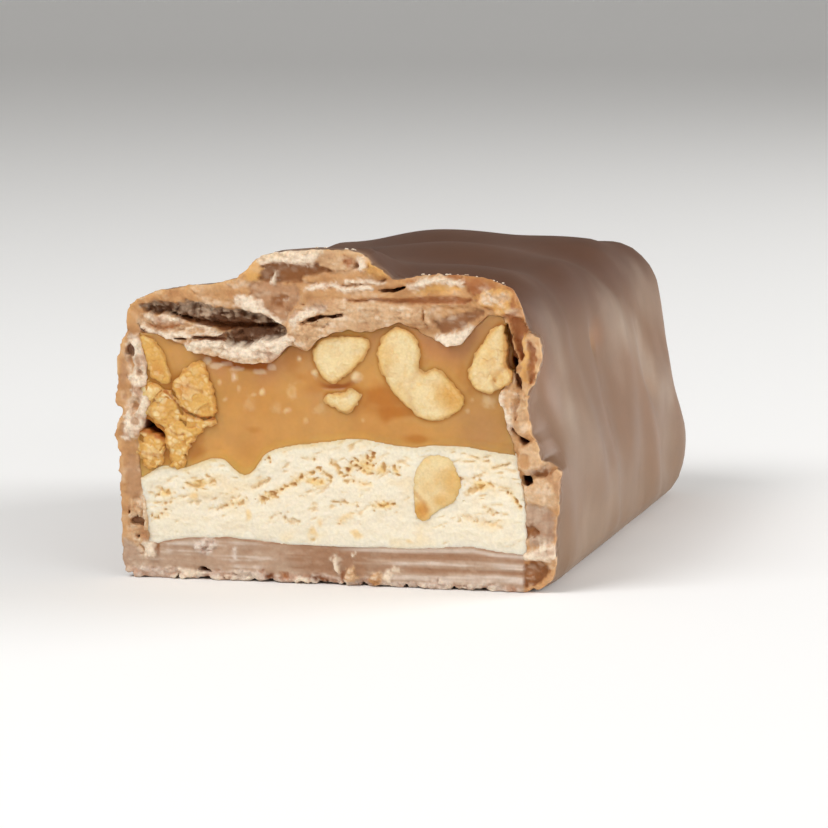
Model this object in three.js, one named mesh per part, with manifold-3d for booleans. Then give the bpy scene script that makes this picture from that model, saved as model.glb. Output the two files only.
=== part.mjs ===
// One half of a chocolate-coated nougat bar, cut across with a knife: a nougat layer below, a caramel layer
// with peanuts above it, and a milk-chocolate coat round both. The cut face looks along -Y, the coated end
// along +Y, and the bar rests on its flat base. Millimetres, +Z up, origin at the middle of the base.
import * as THREE from 'three';
import { mergeVertices } from 'three/addons/utils/BufferGeometryUtils.js';
import Module from 'manifold-3d';

// ---- Driving dimensions ----
const WIDTH = 31.4;           // across the coat at its widest, low on the sides
const LENGTH = 51;            // from the cut face to the coated end
const SHOULDER = 20.6;        // height where the top rolls over into the sides
const LEAN = { left: 0.6, right: 2.7 };   // how far each side leans in between its foot and its shoulder
const RADIUS = { foot: 1.6, shoulder: 3.4, end: 5.0 };

const WALL = { left: 1.5, right: 2.4, end: 2.2 };   // thickness of the coat
const BASE_THICKNESS = 2.85;
const ROOF = 17.35;           // mean height of the underside of the top chocolate
const SEAM = 9.35;            // mean height of the seam between nougat and caramel
const GAP = 0.25;             // clearance between neighbouring pieces

const CUT_Y = -LENGTH / 2;
const END_Y = LENGTH / 2;
const OVERRUN = 3;            // how far blanks run past the cut before the knife trims them

const BLANK_STEPS = { across: 22, along: 24, up: 13 };
const FILLING_STEPS = { across: 20, along: 4, up: 4 };
const KNIFE_STEPS = { across: 24, up: 16 };
const NUT_STEPS = { round: 13, rings: 8 };

// Peanuts that the cut shows, each one lobe or two: the middle of a lobe on the cut face (x, z), its length,
// width and depth into the bar, the tilt of its length from +X in degrees, and how much it narrows that way.
const PEANUTS = {
  peanut_left_sliver: [{ x: -13.2, z: 15.5, length: 4.2, width: 1.4, depth: 4, tilt: -62, taper: 0.1 }],
  peanut_left_fragment: [{ x: -13.75, z: 13.1, length: 1.6, width: 1.2, depth: 2.5, tilt: -20, taper: 0.1 }],
  peanut_left_upper: [{ x: -10.15, z: 13.65, length: 4.0, width: 2.3, depth: 4, tilt: 68, taper: 0.2 }],
  peanut_left_lower: [
    { x: -12.0, z: 10.5, length: 5.0, width: 1.7, depth: 4, tilt: -76, taper: 0.2 },
    { x: -10.7, z: 10.75, length: 2.8, width: 0.9, depth: 3, tilt: -6, taper: 0.2 },
  ],
  peanut_left_crumb: [{ x: -13.95, z: 9.35, length: 2.0, width: 1.7, depth: 2.5, tilt: 10, taper: 0.1 }],
  peanut_round: [{ x: 0.15, z: 16.05, length: 4.2, width: 3.0, depth: 4.5, tilt: 24, taper: -0.12 }],
  peanut_chip: [{ x: 0.35, z: 13.05, length: 2.4, width: 1.3, depth: 2.5, tilt: 14, taper: 0.1 }],
  peanut_kidney: [
    { x: 4.35, z: 15.8, length: 4.7, width: 2.7, depth: 4.5, tilt: 98, taper: -0.1 },
    { x: 6.6, z: 13.5, length: 4.9, width: 3.0, depth: 5, tilt: -14, taper: 0.1 },
  ],
  peanut_right: [{ x: 10.6, z: 16.15, length: 4.8, width: 2.3, depth: 4.5, tilt: 68, taper: 0.3 }],
  peanut_in_nougat: [{ x: 6.95, z: 7.3, length: 4.0, width: 2.9, depth: 4, tilt: 70, taper: -0.2 }],
};
const NUT_PROUD = 0.2;        // how far a cut nut stands out of the caramel

// Broken chocolate at the cut: middle (x, z), size across, up and out of the face, and tilt in degrees.
const CHIPS = [
  { x: 13.4, z: 16.2, across: 1.6, up: 4.1, out: 1.1, tilt: -6 },
  { x: 12.9, z: 12.8, across: 1.5, up: 2.7, out: 0.7, tilt: 12 },
  { x: 13.6, z: 9.8, across: 1.9, up: 1.9, out: 0.8, tilt: 4 },
  { x: 14.5, z: 7.5, across: 2.2, up: 2.4, out: 0.7, tilt: -8 },
  { x: 14.3, z: 4.6, across: 2.0, up: 3.0, out: 0.6, tilt: 3 },
  { x: 14.0, z: 1.5, across: 2.0, up: 1.9, out: 0.8, tilt: 0 },
  { x: -15.5, z: 12.7, across: 1.4, up: 3.0, out: 0.6, tilt: 8 },
  { x: -15.4, z: 8.9, across: 1.3, up: 2.2, out: 0.5, tilt: -6 },
  { x: -14.4, z: 2.3, across: 1.3, up: 1.7, out: 0.7, tilt: 20 },
  { x: -8.6, z: 16.3, across: 9.0, up: 1.4, out: 1.2, tilt: -9 },
  { x: -11.6, z: 17.9, across: 5.4, up: 0.8, out: 0.8, tilt: -12 },
  { x: -3.0, z: 17.5, across: 3.2, up: 2.2, out: 0.8, tilt: 30 },
  { x: 2.6, z: 19.1, across: 9.0, up: 1.6, out: 0.8, tilt: 2 },
  { x: 6.6, z: 20.8, across: 6.0, up: 1.5, out: 0.9, tilt: 4 },
  { x: -2.0, z: 21.8, across: 8.4, up: 2.0, out: 0.9, tilt: 0 },
  { x: 11.6, z: 19.7, across: 2.6, up: 1.9, out: 0.7, tilt: -40 },
];
// Where layers of the top chocolate have parted, and small holes in the rims and the base.
const CRACKS = [
  { x: -9.6, z: 18.7, across: 9.6, up: 1.3, out: 3.4, tilt: -8 },
  { x: -5.9, z: 17.9, across: 4.2, up: 1.6, out: 3.4, tilt: 4 },
  { x: -1.2, z: 18.75, across: 3.6, up: 0.45, out: 2.2, tilt: 11 },
  { x: 3.6, z: 20.9, across: 3.6, up: 0.45, out: 2.2, tilt: 6 },
  { x: 12.3, z: 16.4, across: 0.9, up: 3.8, out: 3.0, tilt: -14 },
  { x: 13.1, z: 10.7, across: 1.3, up: 0.7, out: 2.4, tilt: 10 },
  { x: 13.4, z: 7.9, across: 0.8, up: 0.8, out: 3.0, tilt: 20 },
  { x: -15.15, z: 16.2, across: 0.8, up: 0.9, out: 1.6, tilt: 10 },
  { x: -14.75, z: 4.1, across: 1.1, up: 0.8, out: 1.4, tilt: -20 },
  { x: -10.0, z: 0.85, across: 1.3, up: 0.45, out: 1.0, tilt: 0 },
];
const CRUMBS = { count: 14, from: -11, to: 13, height: 0.55, size: 0.75 };

// Folds of the right side: middle (from the cut, and up), half length and width, degrees of lean, and height.
const FOLDS = [
  { from: 9, up: 16, long: 5, wide: 2.4, lean: 10, rise: 0.3 },
  { from: 13, up: 7.5, long: 5, wide: 3, lean: -25, rise: 0.36 },
  { from: 20.5, up: 17, long: 4.5, wide: 2.8, lean: -20, rise: 0.18 },
  { from: 30, up: 16, long: 6.5, wide: 3.2, lean: -48, rise: 0.42 },
  { from: 37.5, up: 11, long: 2.8, wide: 2, lean: -60, rise: -0.3 },
  { from: 43, up: 9.5, long: 5.5, wide: 2.8, lean: -30, rise: 0.36 },
  { from: 36, up: 4.5, long: 5, wide: 2.4, lean: -8, rise: 0.3 },
  { from: 28, up: 5, long: 4.5, wide: 2.4, lean: 10, rise: 0.24 },
  { from: 19, up: 4, long: 4, wide: 2.4, lean: 35, rise: 0.3 },
  { from: 23, up: 11.5, long: 6, wide: 3.4, lean: 5, rise: -0.32 },
  { from: 4.5, up: 14, long: 5, wide: 1.8, lean: -6, rise: -0.2 },
  { from: 42, up: 4.5, long: 4, wide: 2.6, lean: 0, rise: -0.26 },
  { from: 50, up: 4.5, long: 3.5, wide: 4.5, lean: 0, rise: 0.6 },
  { from: 49.5, up: 17.5, long: 3.2, wide: 4.5, lean: 0, rise: 0.45 },
  { from: 38, up: 17, long: 3.5, wide: 2.4, lean: 20, rise: 0.24 },
];
const FOLD_REACH = 1.6;       // how far out a fold fades to nothing, in its half lengths and half widths
const SEED = 7;

// ---- Small helpers ----
const wasm = await Module();
wasm.setup();

const clamp = THREE.MathUtils.clamp;
const lerp = THREE.MathUtils.lerp;
const smooth = THREE.MathUtils.smoothstep;
const radians = THREE.MathUtils.degToRad;

function bump(distance, halfWidth) {
  const t = clamp(Math.abs(distance) / halfWidth, 0, 1);
  return (1 - t * t) ** 2;
}

// Value noise on a unit lattice, from -1 to 1.
function lattice(i, j, k) {
  const s = Math.sin(i * 127.1 + j * 311.7 + k * 74.7 + SEED) * 43758.5453;
  return 2 * (s - Math.floor(s)) - 1;
}

function noise(x, y, z) {
  const [i, j, k] = [x, y, z].map(Math.floor);
  const [u, v, w] = [x - i, y - j, z - k].map((t) => t * t * (3 - 2 * t));
  let sum = 0;
  for (const [a, fa] of [[0, 1 - u], [1, u]]) {
    for (const [b, fb] of [[0, 1 - v], [1, v]]) {
      for (const [c, fc] of [[0, 1 - w], [1, w]]) sum += fa * fb * fc * lattice(i + a, j + b, k + c);
    }
  }
  return sum;
}

function moved(geometry, place) {
  const position = geometry.getAttribute('position');
  const point = new THREE.Vector3();
  for (let n = 0; n < position.count; n++) {
    point.fromBufferAttribute(position, n);
    place(point);
    position.setXYZ(n, point.x, point.y, point.z);
  }
  return geometry;
}

function solidOf(geometry) {
  geometry.deleteAttribute('normal');
  geometry.deleteAttribute('uv');
  const merged = mergeVertices(geometry.index ? geometry.toNonIndexed() : geometry, 1e-4);
  return new wasm.Manifold(new wasm.Mesh({
    numProp: 3,
    vertProperties: merged.attributes.position.array,
    triVerts: new Uint32Array(merged.index.array),
  }));
}

function largestOf(solid) {
  return solid.decompose().reduce((best, body) => (body.volume() > best.volume() ? body : best));
}

function meshOf(name, solid, material) {
  const { vertProperties, triVerts } = largestOf(solid).getMesh();
  const geometry = new THREE.BufferGeometry();
  geometry.setAttribute('position', new THREE.BufferAttribute(new Float32Array(vertProperties), 3));
  geometry.setIndex(new THREE.BufferAttribute(new Uint32Array(triVerts), 1));
  geometry.computeVertexNormals();
  const mesh = new THREE.Mesh(geometry, material);
  mesh.name = name;
  return mesh;
}

// ---- The form of the coat ----
// Height of the top over the shoulder: a low crown that falls to the left, the lump that the cut crosses, and
// slanting waves.
function topHeight(x, y) {
  const fromCut = y - CUT_Y;
  const crown = 0.9 * bump(x - 1.5, 15);
  const lump = 2.1 * smooth(x, -7.2, -4.6) * (1 - smooth(x, 1.2, 3.8)) * (1 - smooth(fromCut, 4, 12));
  const fall = 0.9 * (1 - smooth(x, -14, -3));
  const waves = 0.36 * Math.sin(0.42 * y + 0.16 * x + 0.9) + 0.2 * Math.sin(0.23 * y - 0.38 * x + 2.1);
  return crown + lump + (waves - fall) * smooth(fromCut, 0, 6);
}

function foldHeight({ from, up, long, wide, lean, rise }, fromCut, z) {
  const turn = radians(lean);
  const along = (fromCut - from) * Math.sin(turn) + (z - up) * Math.cos(turn);
  const across = (fromCut - from) * Math.cos(turn) - (z - up) * Math.sin(turn);
  return rise * bump(along, FOLD_REACH * long) * bump(across, FOLD_REACH * wide);
}

// The coat ran down the sides: it left slanting folds on the right and bent, upright ripples on the left.
function sideRipple(y, z, side) {
  const bend = 1.3 * Math.sin(0.31 * y + 0.23 * z + side) + 0.9 * Math.sin(0.17 * y - 0.31 * z + 2);
  const sway = 0.17 * Math.sin(0.37 * y + 0.19 * z + 3 * side);
  const ripple = Math.sin(0.86 * y + bend);
  if (side < 0) return sway + 0.25 * ripple * (0.6 + 0.4 * Math.sin(0.21 * y + 0.3 * z));
  return FOLDS.reduce((sum, fold) => sum + foldHeight(fold, y - CUT_Y, z), sway + 0.06 * ripple);
}

// Near the cut, half-way up, the right-hand side is drawn in a little and the left-hand side stands out.
function sideDent(y, z, side) {
  const [depth, height, halfHeight, reach] = side > 0 ? [-0.9, 13, 4.4, 9] : [0.5, 12.4, 5, 8];
  return depth * bump(z - height, halfHeight) * bump(y - CUT_Y, reach);
}

// The coated end waves a little, and its foot stands out on the right.
function endRipple(x, z) {
  const ripple = 0.3 * Math.sin(0.55 * x + 0.1 * z) + 0.25 * Math.sin(0.8 * x - 0.35 * z + 1);
  return ripple + 0.9 * bump(z - 4.5, 4.5) * smooth(x, 0, 13);
}

function coatBlank() {
  const length = LENGTH + OVERRUN;
  const { across, along, up } = BLANK_STEPS;
  const box = new THREE.BoxGeometry(WIDTH, length, SHOULDER, across, along, up);
  box.translate(0, END_Y - length / 2, SHOULDER / 2);
  return solidOf(moved(box, (p) => {
    const rise = p.z / SHOULDER;
    const flank = clamp(Math.abs(p.x) / (WIDTH / 2), 0, 1) ** 3;
    const tail = clamp((p.y - CUT_Y) / LENGTH, 0, 1) ** 6;

    // Round the long edges and the coated end.
    const radius = lerp(RADIUS.foot, RADIUS.shoulder, smooth(rise, 0.1, 0.9));
    const inner = {
      x: clamp(p.x, -WIDTH / 2 + radius, WIDTH / 2 - radius),
      y: Math.min(p.y, END_Y - RADIUS.end),
      z: clamp(p.z, RADIUS.foot, SHOULDER - RADIUS.shoulder),
    };
    const heightRadius = rise < 0.5 ? RADIUS.foot : RADIUS.shoulder;
    const corner = [(p.x - inner.x) / radius, (p.y - inner.y) / RADIUS.end, (p.z - inner.z) / heightRadius];
    const reach = Math.hypot(...corner);
    if (reach > 0) {
      const pull = Math.max(...corner.map(Math.abs)) / reach;
      p.set(inner.x + corner[0] * pull * radius, inner.y + corner[1] * pull * RADIUS.end,
        inner.z + corner[2] * pull * heightRadius);
    }

    // Lean the sides, then add the crown, the waves and the ripples; the base stays flat.
    const side = Math.sign(p.x);
    const lean = side > 0 ? LEAN.right : LEAN.left;
    const free = smooth(p.z, 0, 3);
    const shape = { x: p.x, y: p.y, z: p.z };
    p.x += side * flank * (sideRipple(shape.y, shape.z, side) * free + sideDent(shape.y, shape.z, side)
      - lean * smooth(rise, 0.25, 1.05));
    p.z += topHeight(shape.x, shape.y) * rise ** 5 * (1 - 0.5 * tail);
    p.y += endRipple(shape.x, shape.z) * tail * free;
  }));
}

// ---- Surfaces between the layers ----
function roofHeight(x, y) {
  const nearCut = 1 - smooth(y - CUT_Y, 2, 9);
  const sag = -1.9 * bump(x + 7.2, 5.5) * nearCut;
  const corner = 1.5 * smooth(x, 8.8, 11.5) * nearCut;
  return ROOF + sag + corner + 0.3 * Math.sin(0.9 * x + 0.2 * y) + 0.4 * Math.sin(0.3 * y) * (1 - nearCut);
}

function seamHeight(x, y) {
  const nearCut = 1 - smooth(y - CUT_Y, 2, 12);
  const fall = -1.6 * (1 - smooth(x, -14, -5)) * lerp(0.4, 1, nearCut);
  const dip = -1.1 * bump(x + 7.2, 1.8) * nearCut;
  return SEAM + fall + dip + 0.8 * bump(x - 0.5, 6) + 0.25 * Math.sin(0.5 * x + 0.35 * y);
}

function baseHeight(x) {
  return BASE_THICKNESS + 0.15 * Math.sin(0.35 * x);
}

function leftInside(z) {
  return -WIDTH / 2 + WALL.left + LEAN.left * smooth(z / SHOULDER, 0.3, 1);
}

function rightInside(z) {
  return WIDTH / 2 - WALL.right - LEAN.right * smooth(z / SHOULDER, 0.2, 1.0);
}

// A block between two surfaces that fills the coat from side to side, kept an inset away from it.
function fillingBlock(floorAt, ceilingAt, inset, upSteps) {
  const { across, along } = FILLING_STEPS;
  const box = new THREE.BoxGeometry(1, 1, 1, across, along, upSteps);
  return solidOf(moved(box, (p) => {
    const [u, v, w] = [p.x + 0.5, p.y + 0.5, p.z + 0.5];
    const y = lerp(CUT_Y - OVERRUN, END_Y - WALL.end - inset, v);
    const middle = lerp(leftInside(10), rightInside(10), u);
    const z = lerp(floorAt(middle, y) + inset, ceilingAt(middle, y) - inset, w);
    const narrowing = 1.2 * smooth(v, 0.85, 1);
    p.set(lerp(leftInside(z) + inset + narrowing, rightInside(z) - inset - narrowing, u), y, z);
  }));
}

// Everything in front of the cut: a block whose far face carries the relief that a layer shows there.
function knife(relief) {
  const reach = 20;
  const box = new THREE.BoxGeometry(1.6 * WIDTH, reach, 2 * SHOULDER, KNIFE_STEPS.across, 1, KNIFE_STEPS.up);
  box.translate(0, CUT_Y - reach / 2, SHOULDER / 2);
  return solidOf(moved(box, (p) => {
    if (p.y > CUT_Y - 1) p.y -= relief(p.x, p.z);
  }));
}

const chocolateRelief = (x, z) => 0.32 * noise(0.9 * x, 2, 1.3 * z) + 0.1;
const nougatRelief = (x, z) => 0.2 * noise(0.6 * x, 8, 1.6 * z) + 0.05;
const caramelRelief = (x, z) => 0.1 * noise(0.35 * x, 12, 0.35 * z);

// ---- Peanuts, chips, cracks and crumbs ----
function lobe({ x, z, length, width, depth, tilt, taper }, grow) {
  const ball = new THREE.SphereGeometry(1, NUT_STEPS.round, NUT_STEPS.rings);
  moved(ball, (p) => {
    const lumps = 1 + 0.06 * noise(1.7 * p.x + x, 1.7 * p.y, 1.7 * p.z + z);
    const narrow = 1 - taper * p.x;
    p.set((length / 2 + grow) * p.x * lumps, (depth + grow) * p.y * lumps,
      (width / 2 + grow) * p.z * narrow * lumps);
  });
  ball.rotateY(-radians(tilt));
  ball.translate(x, CUT_Y + 0.5, z);
  return solidOf(ball);
}

const peanut = (lobes, grow = 0) => wasm.Manifold.union(lobes.map((spec) => lobe(spec, grow)));

function rock({ x, z, across, up, out, tilt }, detail = 1) {
  const lump = new THREE.IcosahedronGeometry(1, detail);
  moved(lump, (p) => {
    const square = 1 / Math.max(Math.abs(p.x), Math.abs(p.z), 0.75);
    const rough = lerp(1, square, 0.6) * (1 + 0.12 * noise(2 * p.x + x, 2 * p.y, 2 * p.z + z));
    p.set(0.5 * across * p.x * rough, out * p.y, 0.5 * up * p.z * rough);
  });
  lump.rotateY(-radians(tilt));
  lump.translate(x, CUT_Y, z);
  return solidOf(lump);
}

function crumbs() {
  const { count, from, to, height, size } = CRUMBS;
  return Array.from({ length: count }, (_, n) => {
    const chance = (k) => 0.5 + 0.5 * lattice(n, k, 1);
    const grain = size * lerp(0.6, 1.2, chance(0));
    return rock({
      x: lerp(from, to, (n + 0.8 * chance(1)) / count),
      z: Math.max(height, grain / 2 + 0.15),
      across: grain,
      up: grain,
      out: grain * 0.7,
      tilt: 90 * chance(2),
    }, 0);
  });
}

// ---- The pieces ----
const CHOCOLATE = new THREE.MeshStandardMaterial({ color: 0x8a6347, roughness: 0.38, metalness: 0 });
const NOUGAT = new THREE.MeshStandardMaterial({ color: 0xf1e6cc, roughness: 0.85, metalness: 0 });
const CARAMEL = new THREE.MeshStandardMaterial({ color: 0xc58a4c, roughness: 0.35, metalness: 0 });
const PEANUT = new THREE.MeshStandardMaterial({ color: 0xe3bd72, roughness: 0.6, metalness: 0 });

const upAll = 2 * FILLING_STEPS.up;
const nutPockets = Object.values(PEANUTS).map((lobes) => peanut(lobes, GAP));
const nutsKnife = knife(() => NUT_PROUD);

function chocolateCoat() {
  const cavity = fillingBlock(baseHeight, roofHeight, 0, upAll);
  const broken = [...CHIPS.map((chip) => rock(chip)), ...crumbs()];
  const parted = CRACKS.map((crack) => rock(crack));
  // Broken pieces stay above the base and out of the filling.
  const floor = solidOf(new THREE.BoxGeometry(60, 120, 20).translate(0, 0, -10));
  const shell = coatBlank().subtract(knife(chocolateRelief));
  return wasm.Manifold.union([shell, ...broken])
    .subtract(wasm.Manifold.union([cavity, floor, ...parted, ...nutPockets]));
}

const nougat = fillingBlock(baseHeight, seamHeight, GAP, FILLING_STEPS.up)
  .subtract(wasm.Manifold.union([knife(nougatRelief), ...nutPockets]));
const caramel = fillingBlock(seamHeight, roofHeight, GAP, FILLING_STEPS.up)
  .subtract(wasm.Manifold.union([knife(caramelRelief), ...nutPockets]));

const bar = new THREE.Group();
bar.add(meshOf('chocolate_coat', chocolateCoat(), CHOCOLATE));
bar.add(meshOf('nougat', nougat, NOUGAT));
bar.add(meshOf('caramel', caramel, CARAMEL));
for (const [name, lobes] of Object.entries(PEANUTS)) {
  bar.add(meshOf(name, peanut(lobes).subtract(nutsKnife), PEANUT));
}

// The origin is the middle of the base of the box round the bar.
const box = new THREE.Box3().setFromObject(bar);
const middle = box.getCenter(new THREE.Vector3());
bar.position.set(-middle.x, -middle.y, -box.min.z);

export default bar;
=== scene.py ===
"""Looks of the cut nougat bar: one half of a chocolate-coated bar, with its cut face towards -Y.

Shapes are described in millimetres in the frame of the cut: x across it, depth into the bar behind it, and z
up from the base. Each piece is the zero surface of a field (negative inside), meshed on a grid that is finest
at the cut. Heights in the tables are over the ragged foot of the cut, which is FOOT above the base. Only
FOLDS and SHEENS give theirs over the base itself.
"""

import bmesh
import bpy
import numpy as np
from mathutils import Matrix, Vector


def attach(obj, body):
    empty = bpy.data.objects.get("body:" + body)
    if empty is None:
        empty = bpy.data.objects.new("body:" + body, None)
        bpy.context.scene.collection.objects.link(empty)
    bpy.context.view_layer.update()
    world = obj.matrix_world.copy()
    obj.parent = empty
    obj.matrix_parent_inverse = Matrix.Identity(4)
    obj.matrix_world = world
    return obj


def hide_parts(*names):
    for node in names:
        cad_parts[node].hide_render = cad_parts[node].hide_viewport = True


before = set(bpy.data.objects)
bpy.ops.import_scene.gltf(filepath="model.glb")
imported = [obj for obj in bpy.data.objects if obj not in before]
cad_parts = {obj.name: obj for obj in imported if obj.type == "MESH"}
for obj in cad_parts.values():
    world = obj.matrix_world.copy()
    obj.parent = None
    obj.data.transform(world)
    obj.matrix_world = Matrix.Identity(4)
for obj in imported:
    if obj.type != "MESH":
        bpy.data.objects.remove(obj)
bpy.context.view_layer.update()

# ---- Dimensions, as in the solids ----
WIDTH, LENGTH, SHOULDER = 31.4, 51.0, 20.6
LEAN = {"left": 0.6, "right": 2.7}
ROUND_FOOT, ROUND_SHOULDER, ROUND_END = 2.0, 3.4, 4.5
WALL = {"left": 1.5, "right": 2.4, "end": 2.2}
BASE, ROOF, SEAM = 2.85, 17.35, 9.35
CUT_Y = -LENGTH / 2
FOOT = 0.45
ORIGIN = np.array([0.0297, CUT_Y + 0.0009, 0.0])   # the cut frame's origin in the part's frame, mm
MM = 0.001

# ---- Colours, as seen under white light, 0 to 255 ----
TINTS = {
    # chocolate
    "skin": (122, 88, 61),
    # painted bounce light: the skin lighter and greyer at its foot
    "skin_lit_foot": (129, 99, 73),
    # painted reflections on the right side
    "sheen": (196, 182, 164),
    # painted shade: the top of the coat darker
    "top": (86, 54, 35),
    "plain": (198, 150, 102),
    "deep": (146, 94, 54),
    "dusk": (180, 136, 100),
    "red": (172, 110, 66),
    "earth": (144, 97, 62),
    "pale": (238, 219, 195),
    "pink": (210, 171, 130),
    "gold": (218, 166, 98),
    "base": (182, 152, 128),
    "bloom": (222, 206, 192),
    "frost": (208, 182, 156),
    # painted shade deep in the crack under the top slab
    "slab_shade": (104, 68, 44),
    # painted shade in cracks and pits, darker deeper in
    "hollow_shade": (136, 78, 40),
    "dark": (40, 27, 20),
    # nougat
    "cream": (240, 229, 206),
    "pore": (180, 118, 62),
    "tan": (214, 172, 104),
    "honey": (236, 196, 118),
    # caramel
    "toffee": (206, 152, 83),
    "fudge": (198, 146, 88),
    "orange": (184, 114, 38),
    # painted shade in the caramel
    "amber_shade": (168, 92, 24),
    "syrup": (218, 160, 80),
    # painted shade under the chocolate roof
    "mauve_shade": (186, 126, 82),
    "peach": (222, 152, 82),
    "bit": (238, 214, 172),
    # painted highlights under the broken lip
    "glint": (250, 238, 214),
    # peanuts
    "kernel": (234, 211, 163),
    "golden": (222, 174, 94),
    "husk": (190, 122, 48),
    "toast": (204, 138, 62),
    "blanched": (244, 226, 182),
    # painted shade in the creases and cracks of the nuts
    "crease_shade": (172, 98, 34),
}

# ---- The cut face, measured: x, height ----
OUTLINE = [
    (-15.1, -0.45), (-15.7, -0.05), (-15.95, 0.9), (-16.0, 6.5), (-16.1, 8.4), (-16.4, 9.6),
    (-16.2, 10.5), (-15.85, 11.1), (-15.85, 11.5), (-16.3, 11.8), (-16.3, 12.4), (-16.15, 13.4),
    (-16.15, 15.0), (-15.9, 16.1), (-15.5, 16.8), (-15.45, 18.1), (-15.2, 18.9), (-14.6, 19.4),
    (-13.4, 19.9), (-11.0, 20.3), (-8.6, 20.6), (-7.4, 21.0), (-6.5, 21.8), (-5.6, 22.5), (-4.6, 22.8),
    (-2.0, 23.1), (0.8, 23.0), (1.8, 22.7), (2.3, 22.1), (3.1, 21.7), (3.7, 21.1), (4.8, 21.1),
    (5.9, 21.45), (8.8, 21.5), (10.4, 21.3), (11.6, 20.9), (12.3, 20.5), (12.7, 19.8), (13.0, 18.8),
    (13.3, 17.8), (14.4, 17.4), (14.45, 16.2), (14.1, 14.6), (13.6, 13.6), (13.35, 12.6), (13.6, 10.6),
    (14.2, 9.9), (14.4, 8.8), (15.2, 8.4), (15.75, 8.1), (15.65, 6.0), (15.45, 4.0), (15.45, 2.0),
    (15.25, 0.5), (14.6, -0.1), (13.4, -0.45),
]
ROOF_LINE = [
    (-15.5, 17.0), (-13.2, 16.8), (-11.6, 16.3), (-10.6, 15.7), (-8.6, 15.45), (-7.4, 15.1),
    (-6.0, 15.05), (-5.0, 15.15), (-4.3, 15.7), (-3.6, 16.4), (-2.9, 16.2), (-2.2, 15.95), (-1.6, 16.7),
    (-0.6, 17.3), (1.0, 17.5), (2.4, 17.35), (3.3, 17.8), (4.3, 18.1), (5.3, 17.8), (6.4, 17.1),
    (7.8, 16.55), (8.7, 16.7), (9.6, 17.9), (10.6, 18.8), (11.4, 18.7), (12.4, 18.2), (14.0, 17.5),
]
BASE_LINE = [
    (-15.0, 2.0), (-13.4, 2.15), (-11.0, 2.55), (-8.0, 2.7), (-5.5, 2.45), (0.0, 2.4), (5.0, 2.45),
    (9.5, 2.65), (11.2, 2.4), (14.0, 2.3),
]
SEAM_LINE = [
    (-15.0, 6.2), (-14.0, 6.9), (-13.0, 7.6), (-12.1, 7.5), (-11.4, 7.4), (-9.3, 8.2), (-8.4, 8.3),
    (-7.9, 7.8), (-7.3, 7.15), (-6.6, 7.1), (-6.1, 7.4), (-5.5, 8.6), (-4.4, 9.1), (-2.0, 9.5),
    (0.6, 9.85), (1.8, 9.9), (3.4, 9.6), (5.2, 9.4), (6.6, 9.65), (9.0, 9.6), (11.2, 9.3), (13.5, 9.0),
]
# The inner walls of the coat: height, x.
LEFT_LINE = [
    (2.0, -13.9), (4.0, -14.0), (6.0, -14.3), (8.0, -14.5), (9.8, -14.5), (11.0, -14.0), (12.5, -13.9),
    (13.6, -14.2), (15.0, -14.0), (17.0, -14.5), (20.0, -14.6),
]
RIGHT_LINE = [
    (2.0, 13.2), (5.0, 13.2), (7.0, 13.0), (9.3, 12.5), (11.0, 12.0), (13.4, 11.4), (15.0, 12.2),
    (18.0, 11.9), (20.0, 11.6),
]

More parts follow.
